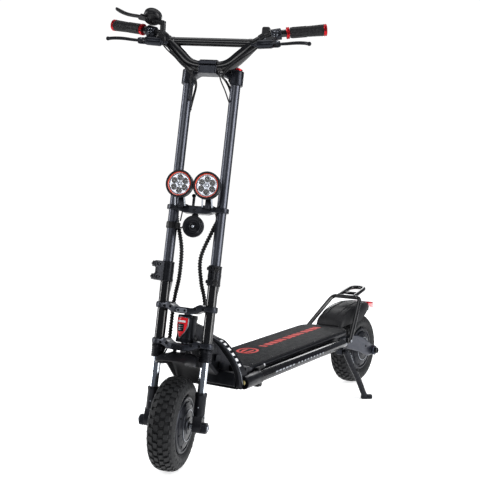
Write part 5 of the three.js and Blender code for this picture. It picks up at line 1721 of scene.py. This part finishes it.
even_leg = [(*p, LEG_RADIUS) for p in resampled(LEG, 2.2)]
piece(
    "kickstand_leg", "kickstand", CHASSIS, SATIN_BLACK,
    tube(even_leg, sides=32, steps=1, ripple=leg_knurl), rod((x - 7, y, z), (x + 7, y, z), 11.5),
    placed(foot, foot_turn), replaces=("kickstand",), bevel=0.4, sharp=50,
)
knob_path = [(x + 16, y + 40, z - 78), (x + 30, y + 44, z - 72)]
piece("kickstand_toe_peg", "kickstand", CHASSIS, RUBBER, rod(*knob_path, 4.6))
SPRING_COIL = 4.2
spring = []
for k in range(90):
    turn = 2 * math.pi * k / 10
    along_coil = SPRING_COIL * math.sin(turn)
    spring.append((
        x + 13 + SPRING_COIL * math.cos(turn), y + 8 + 0.36 * k + along_coil * 0.3,
        z - 6 - 0.62 * k + along_coil, 1.0,
    ))
piece("kickstand_spring", "kickstand", CHASSIS, STEEL, tube(spring, sides=6, steps=1), sharp=60)


# ---------------------------------------------------------------- studio
def make_floor():
    """A white disc that glows a little, so that it runs into the white background."""
    radius, sides = 2.9, 96
    mesh = bpy.data.meshes.new("floor")
    rim = [2 * math.pi * k / sides for k in range(sides)]
    mesh.from_pydata([(radius * math.cos(a), radius * math.sin(a), 0) for a in rim], [], [range(sides)])
    floor = bpy.data.objects.new("floor", mesh)
    bpy.context.scene.collection.objects.link(floor)
    paper = finish("floor_paper", 0xF4F4F4, 0.6, mottle=0.01, grain=0.0, mottle_size=1.0, glow=0.7)
    mesh.materials.append(paper)


def area_light(name, place, target, width, height, power):
    data = bpy.data.lights.new(name, "AREA")
    data.shape = "RECTANGLE"
    data.size, data.size_y = width, height
    data.energy = power
    lamp = bpy.data.objects.new(name, data)
    bpy.context.scene.collection.objects.link(lamp)
    lamp.location = place
    lamp.rotation_euler = (Vector(target) - Vector(place)).to_track_quat("-Z", "Y").to_euler()


def make_world():
    world = bpy.data.worlds.new("studio")
    bpy.context.scene.world = world
    world.use_nodes = True
    nodes, links = world.node_tree.nodes, world.node_tree.links
    nodes.clear()
    seen = nodes.new("ShaderNodeBackground")
    seen.inputs["Color"].default_value = (1, 1, 1, 1)
    seen.inputs["Strength"].default_value = 1.05
    felt = nodes.new("ShaderNodeBackground")
    felt.inputs["Color"].default_value = (0.82, 0.88, 1.0, 1)
    felt.inputs["Strength"].default_value = 0.16
    path = nodes.new("ShaderNodeLightPath")
    mix = nodes.new("ShaderNodeMixShader")
    output = nodes.new("ShaderNodeOutputWorld")
    links.new(path.outputs["Is Camera Ray"], mix.inputs["Fac"])
    links.new(felt.outputs["Background"], mix.inputs[1])
    links.new(seen.outputs["Background"], mix.inputs[2])
    links.new(mix.outputs["Shader"], output.inputs["Surface"])


make_floor()
make_world()
AIM = (0, -0.1, 0.6)
area_light("key_left", (-2.6, -2.0, 1.6), AIM, 0.6, 3.2, 80)
area_light("key_right", (3.4, 0.2, 1.5), AIM, 1.7, 3.2, 150)
area_light("front_fill", (0.6, -3.8, 2.6), AIM, 2.2, 1.0, 26)
area_light("overhead", (0.2, 0.2, 3.6), (0, 0.1, 0), 2.6, 3.0, 40)
area_light("back_rim", (-1.4, 3.4, 2.2), AIM, 1.6, 1.8, 40)
bpy.context.scene.view_settings.view_transform = "Standard"
